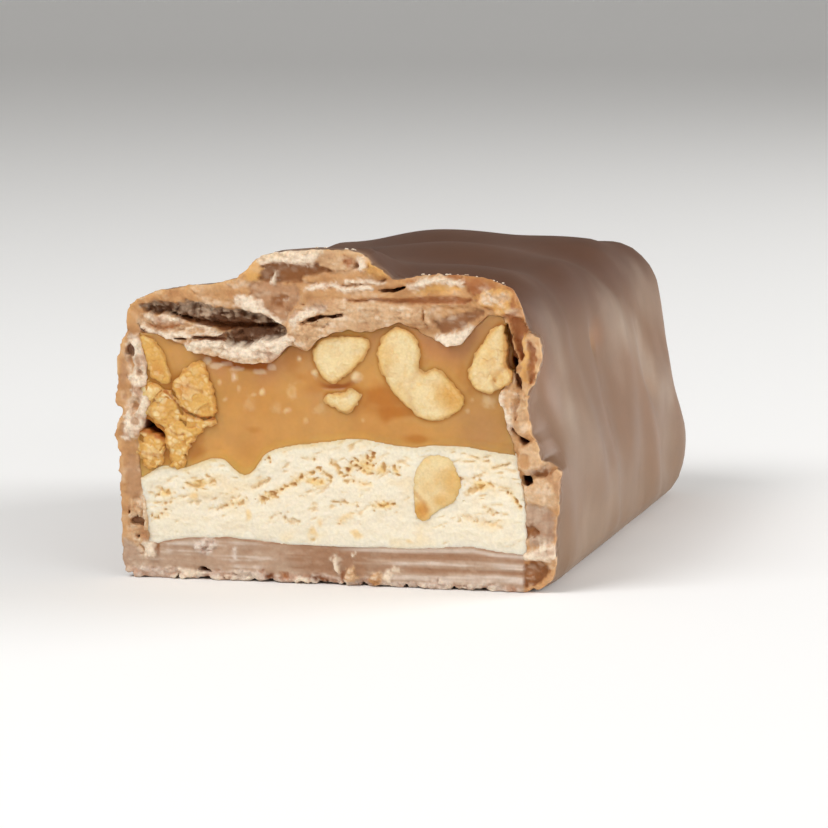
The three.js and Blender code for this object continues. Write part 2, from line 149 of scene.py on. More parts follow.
# Broken layers of chocolate, laid one over another: outline, how far it stands out of the cut, how crumbly it
# is, how ragged its edge is, and its tint.
LAYERS = [
    ([(-16.5, 18.5), (-14.9, 19.4), (-13.4, 20.1), (-8, 21.2), (-6.2, 22.3), (-6.0, 21), (-6.5, 19.6),
     (-8, 18.6), (-10, 18.8), (-12, 19.0), (-14.6, 18.8)], 0.05, 0.5, 0.5, "plain"),
    ([(-6.3, 20.9), (-4.6, 20.7), (-3, 20.7), (-2.7, 19.6), (-3.4, 18.6), (-4, 17.9), (-4.6, 18.1),
     (-5.6, 18.9), (-6.6, 19.9)], -0.1, 0.3, 1.0, "dusk"),
    ([(-4.7, 19.5), (-3.7, 19.7), (-3.5, 19.3), (-4.0, 19.0), (-4.5, 19.1)], -0.16, 0.2, 1.6, "deep"),
    ([(-6.2, 20.9), (-6.1, 22), (-4, 22.3), (-1, 22.3), (1.6, 22.3), (3.2, 21.6), (3.7, 21.1), (2, 20.6),
     (-1, 20.6), (-3, 20.8), (-4.6, 20.7)], -0.4, 0.15, 0.4, "deep"),
    ([(-2.6, 21.2), (0.8, 21.6), (1.4, 21.9), (2.8, 21.5), (3.4, 21.1), (2, 20.7), (-1, 20.6),
     (-2.8, 20.8)], 0.0, 0.3, 0.6, "plain"),
    ([(-6.4, 22.0), (-5.2, 23), (-3, 23.5), (-0.8, 23.5), (-1.0, 22.7), (-1.6, 22.1), (-2.5, 22.0),
     (-4, 22.2), (-5, 21.9), (-5.8, 21.8)], 0.35, 0.9, 1.0, "pale"),
    ([(-1.6, 22.2), (-0.9, 23.5), (1.4, 23.4), (1.3, 22.2), (0.9, 21.5), (-0.6, 21.5)], 0.15, 0.4, 1.0,
     "pink"),
    ([(0.4, 22.6), (1.2, 22.7), (1.2, 21.9), (0.5, 21.9)], 0.05, 0.3, 1.6, "red"),
    ([(1.3, 22.7), (1.9, 22.6), (2.0, 21.7), (1.5, 21.6)], 0.4, 0.5, 0.6, "pale"),
    ([(2.0, 22.6), (2.6, 22.3), (3.6, 21.7), (3.8, 21.1), (2.9, 21.1), (1.9, 21.5)], 0.1, 0.5, 1.0,
     "gold"),
    ([(-6.3, 22.2), (-5.7, 22.2), (-5.8, 21.0), (-6.4, 20.8), (-6.9, 21.2)], 0.1, 0.2, 0.8, "gold"),
    ([(-5.0, 20.6), (-4.6, 21.5), (-4.4, 21.5), (-4.6, 20.6)], 0.15, 0.1, 0.4, "pale"),
    ([(3.8, 21.0), (5.8, 21.9), (8.8, 21.9), (11.6, 21.2), (12.6, 20.5), (13.4, 18), (12.4, 18.4),
     (11.6, 18.8), (10, 19.4), (8.8, 20.6), (5.9, 20.8)], -0.25, 0.3, 0.5, "red"),
    ([(-2.9, 19.9), (-2.3, 20.5), (-0.9, 20.6), (0.8, 20.3), (2.5, 20.2), (4.8, 20.4), (5.2, 20.7),
     (5.9, 21.3), (7, 21.35), (8.8, 21.2), (9.2, 20.5), (9.8, 19.8), (9.4, 19.5), (6.3, 19.3), (4, 19.5),
     (1, 19.4), (-1, 19.3), (-2.6, 19.2)], 0.2, 0.3, 0.6, "plain"),
    ([(5.3, 20.2), (6.0, 20.9), (8.4, 20.9), (8.9, 20.3), (7.2, 20.1)], 0.1, 0.2, 1.0, "gold"),
    ([(5.0, 20.5), (5.6, 20.9), (6.2, 21.35), (8.8, 21.3), (8.9, 20.8), (8.0, 20.75), (6.4, 20.85),
     (5.4, 20.3)], 0.3, 0.8, 0.9, "pale"),
    ([(0.4, 19.65), (3.4, 19.72), (6.0, 19.9), (9.4, 20.0), (9.6, 19.6), (6.3, 19.45), (4, 19.5),
     (1, 19.45)], -0.08, 0.2, 0.5, "red"),
    ([(-2.4, 20.3), (-1.9, 20.6), (-0.9, 20.8), (0.4, 20.5), (1.2, 20.4), (2.6, 20.5), (2.4, 20.25),
     (1.0, 20.15), (0.3, 20.25), (-0.8, 20.5), (-1.8, 20.3)], 0.34, 0.8, 0.8, "pale"),
    ([(0.5, 20.8), (1.0, 21.0), (2.6, 20.95), (3.6, 20.85), (2.8, 20.7), (1.2, 20.7)], 0.22, 0.6, 0.8,
     "pale"),
    ([(-3.8, 18.0), (-3.2, 19.0), (-1.6, 19.6), (0.6, 19.5), (3, 19.5), (6.3, 19.3), (6.9, 19), (7, 17.7),
     (5.3, 17.8), (4.3, 18.1), (3.3, 17.7), (2.2, 17.2), (0, 17.2), (-1.6, 16.7), (-2.4, 15.8),
     (-3, 16.2), (-3.9, 17)], 0.35, 0.6, 0.8, "pink"),
    ([(-3.6, 18.1), (-2.6, 18.9), (-1.0, 19.3), (-0.8, 18.9), (-2.4, 18.3), (-3.2, 17.5)], 0.5, 0.9, 0.9,
     "pale"),
    ([(-3.2, 17.7), (-2.2, 18.0), (-0.6, 18.3), (-0.9, 17.5), (-1.9, 16.7), (-2.4, 15.9), (-3, 16.3)],
     0.5, 1.0, 0.9, "pink"),
    ([(1.2, 18.0), (3, 18.7), (5.6, 18.7), (5.8, 18.3), (4.0, 18.3), (2.4, 17.6)], 0.42, 0.7, 1.4,
     "pink"),
    ([(6.0, 19.3), (6.2, 19.3), (6.25, 17.9), (6.05, 17.9)], 0.15, 0.5, 1.2, "plain"),
    ([(7, 17.6), (8.3, 17.5), (9.9, 18.4), (10.5, 18.8), (9.6, 19.3), (8, 19.3), (6.6, 19.2)], -0.2, 0.3,
     0.8, "earth"),
    ([(6.7, 18.4), (7.4, 18.4), (9.0, 19.0), (9.9, 19.2), (8, 19.4), (6.6, 19.2)], 0.0, 0.3, 0.8,
     "plain"),
    ([(7, 17.5), (8.4, 17.4), (9.7, 18.1), (9.2, 17.0), (8.5, 16.4), (7.7, 16.4), (6.8, 17)], 0.3, 0.8,
     0.8, "pale"),
    ([(9.6, 19.6), (10.1, 20.4), (11.3, 20.9), (12.4, 20.5), (12.8, 19.6), (12.2, 19), (11.5, 18.6),
     (10.7, 19.1)], 0.2, 0.6, 1.3, "gold"),
    ([(9.9, 19.9), (10.5, 20.3), (11.6, 20.5), (12.2, 20.3), (11.9, 19.7), (10.9, 19.5)], 0.3, 0.8, 1.4,
     "pink"),
    ([(12.2, 20.2), (12.5, 20.2), (12.7, 19.4), (12.3, 19.2)], 0.1, 0.3, 1.2, "red"),
    ([(-7.8, 19.3), (-7.4, 19.7), (-6.6, 19.8), (-5.9, 19.5), (-5.4, 19), (-4.8, 18.5), (-4.1, 18),
     (-4.5, 17.7), (-5.3, 18.2), (-6.2, 18.7), (-7, 18.8)], 0.25, 0.7, 1.0, "pale"),
    # the crack under the top slab, in painted shade
    ([(-14.7, 18.6), (-13.8, 19.1), (-12.6, 19.1), (-11.2, 19.3), (-10.2, 19.05), (-9.2, 18.75),
     (-8.4, 19.0), (-7.5, 18.75), (-6.6, 18.8), (-5.8, 18.5), (-5, 18.1), (-4.2, 17.7), (-5.5, 17.5),
     (-7.8, 17.5), (-9.5, 17.6), (-11, 17.9), (-12.5, 18.3)], -0.75, 1.3, 1.0, "slab_shade"),
    ([(-14.6, 18.3), (-13, 18.3), (-12, 18.0), (-11, 17.7), (-10, 17.5), (-9.2, 17.35), (-8.4, 17.1),
     (-9.4, 17.0), (-10.5, 17.1), (-11.5, 17.0), (-13, 17.1), (-14.4, 17.4)], -0.25, 1.1, 0.8, "pink"),
    ([(-14.4, 18.2), (-13.4, 18.35), (-12.2, 18.0), (-11.2, 17.75), (-11.4, 17.6), (-12.4, 17.65),
     (-13.6, 17.85)], -0.05, 1.0, 1.2, "pale"),
    ([(-10.6, 17.5), (-9.6, 17.45), (-8.8, 17.2), (-9.4, 17.1), (-10.4, 17.2)], -0.1, 1.0, 1.2, "pale"),
    ([(-13.9, 17.6), (-12.8, 17.55), (-11.5, 17.5), (-12.4, 17.3), (-13.6, 17.35)], -0.4, 0.6, 1.2,
     "red"),
    ([(-14.5, 17.5), (-13, 17.1), (-11.5, 16.9), (-10, 17.0), (-8.6, 17.1), (-8.8, 16.7), (-10, 16.8),
     (-11, 16.7), (-12, 16.4), (-13, 16.6), (-14.4, 16.9)], 0.15, 0.9, 0.8, "pale"),
    # painted shade in the crack above the broken lip
    ([(-8.4, 17.6), (-4.0, 17.7), (-4.0, 16.8), (-6, 16.1), (-8.2, 16.2)], -0.7, 1.2, 0.8, "slab_shade"),
    ([(-11.4, 16.2), (-10.6, 16.6), (-9.5, 16.65), (-8.3, 16.6), (-7.8, 16.3), (-7.0, 16.2), (-6, 16.5),
     (-5.2, 16.8), (-4.4, 16.8), (-3.7, 17.3), (-3.2, 16.5), (-4, 15.8), (-4.6, 15.2), (-5.4, 14.95),
     (-6.6, 14.9), (-7.6, 15.1), (-8.5, 15.4), (-9.7, 15.4), (-10.8, 15.7)], 0.7, 1.0, 0.9, "pale"),
    ([(-10.6, 16.0), (-9.0, 15.8), (-7.6, 15.5), (-6.2, 15.3), (-5.0, 15.5), (-5.2, 14.9), (-7.6, 15.0),
     (-9.7, 15.4), (-10.8, 15.7)], 0.58, 0.9, 1.0, "pink"),
    # left-hand rim
    ([(-17, -1), (-17, 19), (-15.2, 19), (-14.7, 17), (-15.1, 14), (-14.2, 8), (-14.1, 2), (-13.6, -1)],
     0.0, 0.2, 0.5, "plain"),
    ([(-15.4, 16.6), (-14.4, 16.8), (-13.9, 15.2), (-13.7, 14), (-14.0, 12.4), (-13.6, 11.6),
     (-13.9, 10.6), (-15, 9.3), (-15.9, 9.6), (-15.7, 11), (-15.2, 12.2), (-15.2, 14)], 0.2, 1.0, 1.0,
     "pale"),
    ([(-15.3, 15.4), (-14.8, 15.4), (-14.85, 14.2), (-15.2, 13.9)], -0.1, 0.5, 1.2, "plain"),
    ([(-15.3, 12.3), (-14.5, 12.3), (-14.6, 11.2), (-15.2, 11.0)], -0.1, 0.6, 1.0, "plain"),
    ([(-16.2, 2.2), (-13.6, 2.2), (-13.6, -1), (-16.2, -1)], 0.05, 0.35, 0.8, "base"),
    ([(-15.5, 5.2), (-14.0, 5.2), (-13.7, 3.4), (-13.5, 1.2), (-14.3, 1.2), (-15.3, 2.2)], 0.1, 1.0, 0.9,
     "pink"),
    ([(-14.5, 2.1), (-13.7, 2.2), (-13.4, 1.7), (-13.6, 1.1), (-14.2, 1.3)], 0.4, 1.0, 0.8, "pale"),
    # right-hand rim
    ([(17, -1), (17, 17), (13.0, 17), (11.6, 13.6), (11.2, 13.4), (12, 10.8), (12.9, 8), (13.1, 2),
     (13.1, -1)], -0.1, 0.4, 0.5, "plain"),
    ([(12.1, 18.6), (12.8, 18.7), (13.5, 17.6), (13.5, 16.4), (13.1, 15.4), (12.6, 16.5)], -0.7, 0.2, 0.4,
     "red"),
    ([(13.3, 17.5), (13.9, 17.8), (14.8, 17.6), (14.9, 16), (14.3, 14.3), (13.7, 13.3), (13.2, 13.4),
     (13.2, 14.6), (13.0, 15.6)], 0.7, 0.3, 0.7, "pink"),
    ([(13.5, 17.1), (14.1, 17.0), (14.15, 15.6), (13.8, 14.2), (13.4, 14.2), (13.5, 15.6)], 0.35, 0.2,
     0.8, "red"),
    ([(13.0, 17.3), (13.5, 17.5), (13.5, 14.3), (13.2, 14.3), (13.1, 15.8)], 0.6, 0.3, 0.6, "gold"),
    ([(11.0, 13.7), (12.5, 13.6), (13.4, 13.5), (13.6, 11), (13, 10.3), (12.4, 10.7), (11.8, 11.4),
     (11.3, 12.4)], 0.25, 0.6, 0.6, "pink"),
    ([(11.1, 13.6), (11.7, 13.6), (12.0, 12.2), (12.5, 11.0), (12.2, 10.7), (11.7, 11.4), (11.3, 12.4)],
     0.35, 0.7, 0.7, "pale"),
    ([(12.5, 13.3), (12.9, 13.2), (12.9, 11.4), (12.6, 11.3)], 0.0, 0.4, 0.8, "plain"),
    ([(12.7, 9.9), (13.3, 9.75), (13.7, 10.2), (14.5, 10.1), (14.5, 8.9), (14, 8.2), (12.9, 8.0)], 0.4,
     0.4, 0.7, "pink"),
    ([(12.95, 9.3), (13.4, 9.4), (13.7, 8.9), (13.5, 8.3), (13.0, 8.4)], 0.25, 0.1, 0.5, "plain"),
    ([(13.3, 7.2), (14.2, 7.6), (15.2, 8.6), (16.2, 8.4), (16, 6), (15.3, 5.4), (13.9, 5.7), (13.2, 6.2)],
     0.3, 0.6, 0.7, "pink"),
    ([(13.8, 8.2), (14.4, 8.6), (15.1, 8.4), (14.9, 7.9), (14.2, 7.8)], -0.2, 0.3, 1.6, "deep"),
    ([(13.2, 5.9), (14.0, 5.7), (15.3, 5.5), (15.4, 3), (14.3, 2.8), (13.2, 3)], 0.0, 0.4, 0.5, "base"),
    ([(13.3, 4.2), (14.2, 4.3), (14.1, 3.4), (13.4, 3.1)], -0.2, 0.4, 1.6, "deep"),
    ([(13.1, 2.1), (14.4, 2.9), (15.6, 3.1), (16, 2.2), (14.5, 1.8), (13.2, 1.9)], 0.4, 0.6, 0.7, "pale"),
    ([(13.1, 1.8), (14.8, 1.8), (14.9, 0.9), (14.3, 0.1), (13.1, -0.2)], -0.3, 0.4, 0.6, "deep"),
]

# Crumbs on the base, laid like the layers.
BASE_CRUMBS = [
    ([(-10.5, 2.3), (-9.9, 2.6), (-9.2, 2.5), (-9.3, 1.7), (-9.6, 1.3), (-10.3, 1.5)], 0.15, 0.9, 1.0,
     "bloom"),
    ([(-7.8, 1.9), (-7.6, 1.9), (-7.6, 1.0), (-7.8, 1.0)], 0.1, 0.3, 1.0, "bloom"),
    ([(-0.55, 1.5), (-0.2, 1.6), (0.0, 1.1), (0.15, 0.5), (-0.1, 0.2), (-0.45, 0.9)], 0.45, 0.2, 0.8,
     "pale"),
    ([(0.45, 0.7), (1.0, 0.85), (1.3, 0.4), (1.2, -0.1), (0.5, -0.2)], 0.4, 0.9, 0.9, "pink"),
    ([(0.15, 0.5), (0.4, 0.5), (0.45, -0.2), (0.1, -0.2)], -0.1, 0.3, 0.5, "red"),
    ([(2.0, 0.2), (2.7, 0.5), (3.4, 0.2), (3.2, -0.3), (2.1, -0.3)], 0.35, 0.8, 0.9, "plain"),
    ([(3.3, 0.6), (3.6, 0.7), (3.8, -0.3), (3.4, -0.4)], 0.3, 0.6, 0.9, "pale"),
    ([(0.9, 1.7), (1.15, 1.75), (1.15, 1.5), (0.95, 1.5)], 0.3, 0.2, 0.5, "pale"),
    ([(3.8, 1.0), (4.2, 1.0), (4.2, 0.7), (3.85, 0.7)], 0.2, 0.2, 0.5, "pale"),
    ([(-14.4, 2.1), (-13.8, 2.3), (-13.4, 1.9), (-13.3, 1.4), (-13.7, 1.0), (-14.2, 1.3)], 0.45, 0.9, 0.8,
     "pale"),
    ([(-13.4, 2.0), (-13.1, 1.9), (-13.1, 1.3), (-13.35, 1.2)], 0.0, 0.1, 0.5, "deep"),
    ([(-12.2, -0.0), (-10.4, 0.1), (-10.4, -0.4), (-12.0, -0.4)], 0.3, 0.6, 0.9, "pale"),
    ([(-3.2, -0.1), (-2.1, -0.05), (-2.0, -0.45), (-3.0, -0.5)], 0.3, 0.6, 0.9, "pale"),
    # pits, darkened with painted shade
    ([(-5.2, 0.1), (-4.6, 0.15), (-4.6, -0.2), (-5.1, -0.25)], -0.2, 0.3, 1.0, "hollow_shade"),
    ([(-4.3, 0.1), (-3.7, 0.15), (-3.6, -0.15), (-4.2, -0.2)], -0.1, 0.3, 1.0, "red"),
    ([(-1.8, 0.2), (-0.9, 0.15), (-0.9, -0.1), (-1.7, -0.15)], -0.15, 0.3, 1.0, "hollow_shade"),
]

# Hollows in the left rim: x, height, half width, half height, and how pale their edges are.
HOLLOWS = [
    (-15.75, 14.1, 0.38, 1.3, 0.3), (-14.6, 15.0, 0.22, 0.42, 0.7), (-14.5, 14.1, 0.26, 0.2, 0.7),
    (-14.9, 11.75, 0.42, 0.4, 0.7), (-14.85, 10.7, 0.36, 0.28, 0.7), (-15.6, 12.5, 0.25, 0.4, 0.2),
    (-15.8, 10.2, 0.25, 0.5, 0.2), (-14.4, 13.0, 0.16, 0.14, 0.6), (-15.1, 6.6, 0.6, 1.9, 0.1),
]

# Where layers have parted, and holes: outline and depth.
NUT_GAP = ([
    (11.75, 18.2), (12.0, 18.2), (12.2, 17.4), (12.45, 16.6), (12.65, 15.9), (12.75, 15.4), (12.6, 15.0),
    (12.95, 14.5), (13.25, 13.9), (13.1, 13.6), (12.7, 13.9), (12.55, 14.5), (12.35, 14.95),
    (12.1, 15.05), (11.6, 15.3), (11.75, 15.9), (11.75, 16.8),
], 0.9)
CRACKS = [
    ([(-14.8, 18.72), (-13.5, 18.66), (-12.3, 18.42), (-11.3, 18.2), (-10, 17.92), (-9, 17.82),
     (-7.6, 17.9), (-6, 17.85), (-4.2, 17.8), (-3.9, 17.55), (-5.5, 17.4), (-7.5, 17.35), (-8.4, 17.15),
     (-9.2, 17.4), (-10, 17.52), (-11, 17.72), (-12, 18.08), (-13, 18.4)], 2.7),
    ([(-13.3, 17.3), (-12.2, 17.15), (-11.4, 17.35), (-12.3, 17.42)], 0.45),
    ([(-14.7, 17.7), (-14.3, 17.3), (-13.9, 16.9), (-14.4, 16.95)], 2.0),
    ([(-12.3, 16.5), (-11.3, 16.72), (-10, 16.85), (-8.9, 16.8), (-8.1, 17.1), (-8.2, 16.6),
     (-9.5, 16.62), (-11, 16.55)], 0.6),
    ([(-2.8, 17.9), (-2.2, 18.32), (-1.2, 18.58), (0.4, 18.72), (0.4, 18.5), (-1, 18.28), (-2, 17.98)],
     2.7),
    ([(2.7, 20.32), (3.6, 20.42), (4.2, 20.62), (5.0, 20.68), (4.7, 20.38), (4.1, 20.22), (3.3, 20.14)],
     1.8),
    NUT_GAP,
    ([(11.6, 15.7), (12.3, 15.9), (12.7, 15.6), (12.6, 15.0), (12.1, 15.05), (11.6, 15.3)], 2.6),
    ([(12.3, 11.1), (12.75, 10.1), (13.2, 9.75), (13.7, 10.1), (13.2, 10.35), (12.8, 10.6)], 1.6),
    ([(12.95, 7.8), (13.7, 7.82), (13.88, 7.2), (13.35, 6.95), (12.9, 7.3)], 2.7),
    ([(-15.55, 15.9), (-15.2, 16.2), (-14.85, 15.9), (-14.8, 15.4), (-15.1, 15.2), (-15.5, 15.4)], 0.6),
    ([(-15.6, 4.3), (-15.35, 4.5), (-15.2, 4.25), (-15.4, 4.05)], 0.9),
    ([(-15.4, 3.55), (-14.9, 4.0), (-14.4, 3.75), (-14.1, 3.2), (-14.6, 3.2), (-15.2, 3.3)], 0.6),
    ([(-15.0, 2.5), (-14.75, 2.65), (-14.5, 2.4), (-14.8, 2.25)], 0.8),
    ([(-10.6, 0.25), (-10.1, 0.52), (-9.7, 0.45), (-9.3, 0.15), (-10.0, 0.1)], 1.1),
]
NUT_HOLLOW = ([
    (-14.4, 10.75), (-13.9, 10.8), (-13.2, 10.25), (-12.7, 9.95), (-12.75, 9.35), (-13.4, 9.55),
    (-14.5, 10.0),
], 3.0)

# Peanuts that the cut shows: outline, how far the cut nut stands out, how crumbly it is.
NUTS = {
    "peanut_left_sliver": (
        [(-14.5, 16.9), (-13.9, 16.7), (-13.3, 16.2), (-12.8, 15.5), (-12.45, 14.6), (-12.2, 13.7),
         (-12.4, 13.3), (-13.0, 13.4), (-13.6, 13.8), (-13.9, 14.6), (-14.3, 15.9)], 0.14, 0.4),
    "peanut_left_fragment": (
        [(-14.5, 13.5), (-13.8, 13.45), (-12.9, 13.1), (-12.9, 12.85), (-13.4, 12.4), (-13.7, 11.8),
         (-13.8, 11.1), (-14.2, 11.1), (-14.4, 12.2)], 0.15, 0.9),
    "peanut_left_upper": (
        [(-12.1, 13.5), (-11.3, 14.2), (-10.5, 14.8), (-9.9, 15.05), (-9.6, 14.5), (-9.35, 13.5),
         (-9.05, 12.3), (-8.95, 11.2), (-9.4, 11.1), (-10, 11.2), (-10.8, 11.35), (-11.4, 11.7),
         (-11.6, 12.4), (-11.95, 12.9)], 0.24, 0.6),
    "peanut_left_lower": (
        [(-12.6, 12.95), (-12.1, 12.7), (-11.75, 12.2), (-11.55, 11.6), (-11.3, 11.25), (-10.7, 11.0),
         (-9.8, 10.9), (-9.0, 10.9), (-9.1, 10.6), (-9.8, 10.4), (-10, 10.0), (-10.4, 9.8), (-10.7, 9.3),
         (-11.0, 8.8), (-11.3, 8.1), (-11.6, 7.4), (-11.95, 7.3), (-12.25, 8.3), (-12.45, 9.3),
         (-12.6, 10.0), (-13.1, 10.6), (-13.55, 11.0), (-13.7, 11.5), (-13.4, 12.2)], 0.2, 0.9),
    "peanut_left_crumb": (
        [(-15.0, 9.9), (-14.4, 10.05), (-13.8, 9.9), (-13.1, 9.6), (-12.75, 9.3), (-12.75, 8.5),
         (-13.0, 7.6), (-13.6, 7.4), (-14.1, 7.5), (-14.3, 8.2), (-14.8, 8.7)], 0.15, 0.8),
    "peanut_round": (
        [(-1.9, 15.6), (-1.75, 16.3), (-1.2, 16.85), (0, 17.05), (1, 17.1), (1.9, 17.0), (2.2, 16.6),
         (1.95, 16.0), (1.6, 15.5), (1.1, 14.9), (0.6, 14.5), (0, 14.0), (-0.6, 13.8), (-1.2, 14.2),
         (-1.65, 14.9)], 0.14, 0.25),
    "peanut_chip": (
        [(-1.0, 13.05), (-0.85, 12.25), (-0.2, 12.1), (0.1, 11.8), (0.7, 11.8), (1.25, 12.3),
         (1.65, 12.95), (1.3, 13.4), (0.8, 13.45), (0.4, 13.1), (-0.2, 13.0)], 0.13, 0.4),
    "peanut_kidney": (
        [(2.75, 15.8), (2.95, 16.6), (3.4, 17.35), (4.1, 17.75), (4.9, 17.6), (5.5, 17.0), (5.85, 16.3),
         (5.8, 15.5), (5.7, 14.9), (6.2, 14.55), (6.7, 14.95), (7.2, 14.85), (7.9, 14.2), (8.5, 13.5),
         (9.05, 12.75), (8.6, 12.1), (7.9, 11.75), (7.2, 11.4), (6.4, 11.35), (5.7, 11.6), (5.0, 12.2),
         (4.4, 12.8), (3.8, 13.4), (3.3, 14.2), (3.0, 15.0)], 0.13, 0.25),
    "peanut_right": (
        [(11.75, 18.4), (11.75, 17), (11.8, 16.1), (11.7, 15.4), (12.1, 15.0), (12.35, 14.5),
         (12.1, 14.05), (11.6, 13.8), (11.1, 13.4), (10.3, 13.4), (9.6, 13.8), (9.2, 14.6), (9.5, 15.6),
         (10.1, 16.6), (10.9, 17.7)], 0.15, 0.4),
    "peanut_in_nougat": (
        [(5.35, 6.8), (5.5, 7.8), (6.0, 8.5), (6.6, 8.9), (7.4, 8.9), (8.1, 8.6), (8.4, 8.0), (8.5, 7.4),
         (8.7, 6.8), (8.4, 6.1), (8.0, 5.6), (7.3, 5.2), (6.8, 4.95), (6.5, 4.6), (6.1, 4.3), (5.6, 4.5),
         (5.4, 5.2), (5.4, 6.0)], 0.15, 0.1),
}

# ---- Noise ----
TABLE_SIZE = 64
TABLE = (np.random.default_rng(5).random((TABLE_SIZE,) * 3) * 2 - 1).astype(np.float32)


def ramp(value, low, high):
    t = np.clip((value - low) / (high - low), 0, 1)
    return t * t * (3 - 2 * t)


def lerp(a, b, t):
    return a + (b - a) * t


def bump(distance, half_width):
    t = np.clip(np.abs(distance) / half_width, 0, 1)
    return (1 - t * t) ** 2


def noise(x, y, z, seed=0):
    """Value noise from -1 to 1, one unit to a lump. Each seed looks at its own stretch of the table."""
    parts = []
    for value, offset in zip((x, y, z), (3.1, 5.7, 9.2)):
        value = np.asarray(value, np.float32) + np.float32(offset * (seed + 1))
        cell = np.floor(value)
        t = value - cell
        low = cell.astype(np.int32) % TABLE_SIZE
        parts.append((low, (low + 1) % TABLE_SIZE, t * t * (3 - 2 * t)))
    (i0, i1, u), (j0, j1, v), (k0, k1, w) = parts

    def sheet(k):
        low = lerp(TABLE[i0, j0, k], TABLE[i1, j0, k], u)
        high = lerp(TABLE[i0, j1, k], TABLE[i1, j1, k], u)
        return lerp(low, high, v)

    return lerp(sheet(k0), sheet(k1), w)


def fractal(x, y, z, octaves, seed=0):
    """Octaves of noise, each about half as large and half as strong as the one before."""
    total, size, weight = 0.0, 1.0, 1.0
    for octave in range(octaves):
        total = total + weight * noise(x * size, y * size, z * size, seed + octave)
        size, weight = size * 2.03, weight * 0.55
    return total


def facets(x, z, size_x, size_z, seed):
    """The height of broken facets, each with its own tilt, and how far a point is from its facet's edge."""
    u, v = x / size_x, z / size_z
    i, j = np.floor(u).astype(np.int32), np.floor(v).astype(np.int32)
    nearest = np.full(np.shape(u), 9.0, np.float32)
    second = nearest.copy()
    value = np.zeros(np.shape(u), np.float32)
    for di in (-1, 0, 1):
        for dj in (-1, 0, 1):
            a, b = (i + di) % TABLE_SIZE, (j + dj) % TABLE_SIZE
            px = i + di + 0.5 + 0.42 * TABLE[a, b, seed] - u
            pz = j + dj + 0.5 + 0.42 * TABLE[a, b, seed + 1] - v
            distance = px * px + pz * pz
            closer = distance < nearest
            height = TABLE[a, b, seed + 2] + 0.9 * (TABLE[a, b, seed + 3] * px + TABLE[a, b, seed + 4] * pz)
            value = np.where(closer, height, value)
            second = np.where(closer, nearest, np.minimum(second, distance))
            nearest = np.minimum(nearest, distance)
    return value, np.sqrt(second) - np.sqrt(nearest)


def outline_distance(points, x, z):
    """Signed distance to a closed outline in a table of this script, negative inside."""
    corners = np.array(points, np.float32) + np.float32([0, FOOT])
    x, z = np.broadcast_arrays(x, z)
    best = np.full(np.shape(x), 1e9, np.float32)
    inside = np.zeros(np.shape(x), bool)
    for (ax, az), (bx, bz) in zip(corners, np.roll(corners, -1, 0)):
        ex, ez, px, pz = bx - ax, bz - az, x - ax, z - az
        t = np.clip((px * ex + pz * ez) / (ex * ex + ez * ez + 1e-9), 0, 1)
        best = np.minimum(best, (px - t * ex) ** 2 + (pz - t * ez) ** 2)
        if abs(ez) > 1e-9:
            crosses = ((az > z) != (bz > z)) & (x < ax + (z - az) * ex / ez)
            inside ^= crosses
    return np.where(inside, -1, 1) * np.sqrt(best)


def eased(points, passes=2):
    """The outline with its corners cut off."""
    corners = np.array(points, float)
    for _ in range(passes):
        following = np.roll(corners, -1, 0)
        corners = np.stack([lerp(corners, following, 0.25), lerp(corners, following, 0.75)], 1).reshape(-1, 2)
    return corners


def line_distance(points, x, z):
    """Distance to a crease or a row in a table of this script."""
    reach = []
    for (ax, az), (bx, bz) in zip(points[:-1], points[1:]):
        ex, ez, px, pz = bx - ax, bz - az, x - ax, z - FOOT - az
        t = np.clip((px * ex + pz * ez) / (ex * ex + ez * ez), 0, 1)
        reach.append(np.hypot(px - t * ex, pz - t * ez))
    return np.minimum.reduce(reach)


def spot_reach(x, z, spot_x, spot_z, wide, high):
    """Distance from the middle of an oval spot in a table of this script, 1 on its rim."""
    return np.hypot((x - spot_x) / wide, (z - spot_z - FOOT) / high)


def line(points, at):
    """Height of a measured line over the base at x."""
    xs, heights = zip(*points)
    return np.interp(at, xs, heights) + FOOT


def soft_line(points, at):
    """The same line with its corners rounded."""
    return (line(points, at - 0.35) + 2 * line(points, at) + line(points, at + 0.35)) / 4


def side_line(points, z):
    """Where a measured wall is at height z over the base."""
    heights, xs = zip(*points)
    return np.interp(z - FOOT, heights, xs)


# ---- The outside of the bar, as in the solids ----
# Folds of the right side: depth, height, half length, half width, lean from upright in degrees, and how far
# they stand out.
FOLDS = [
    (9.0, 16.0, 5.0, 2.4, 10, 0.3), (13.0, 7.5, 5.0, 3.0, -25, 0.36), (20.5, 17.0, 4.5, 2.8, -20, 0.18),
    (30.0, 16.0, 6.5, 3.2, -48, 0.42), (37.5, 11.0, 2.8, 2.0, -60, -0.3),
    (43.0, 9.5, 5.5, 2.8, -30, 0.36), (36.0, 4.5, 5.0, 2.4, -8, 0.3), (28.0, 5.0, 4.5, 2.4, 10, 0.24),
    (19.0, 4.0, 4.0, 2.4, 35, 0.3), (23.0, 11.5, 6.0, 3.4, 5, -0.32), (4.5, 14.0, 5.0, 1.8, -6, -0.2),
    (42.0, 4.5, 4.0, 2.6, 0, -0.26), (50.0, 4.5, 3.5, 4.5, 0, 0.6), (49.5, 17.5, 3.2, 4.5, 0, 0.45),
    (38.0, 17.0, 3.5, 2.4, 20, 0.24), (21.3, 15.3, 0.8, 0.8, 20, -0.4),
]


def top_height(x, depth):
    y = depth + CUT_Y
    crown = 0.9 * bump(x - 1.5, 15)
    lump = 2.1 * ramp(x, -7.2, -4.6) * (1 - ramp(x, 1.2, 3.8)) * (1 - ramp(depth, 4, 12))
    fall = 0.9 * (1 - ramp(x, -14, -3))
    waves = 0.36 * np.sin(0.42 * y + 0.16 * x + 0.9) + 0.2 * np.sin(0.23 * y - 0.38 * x + 2.1)
    return crown + lump + (waves - fall) * ramp(depth, 0, 6)


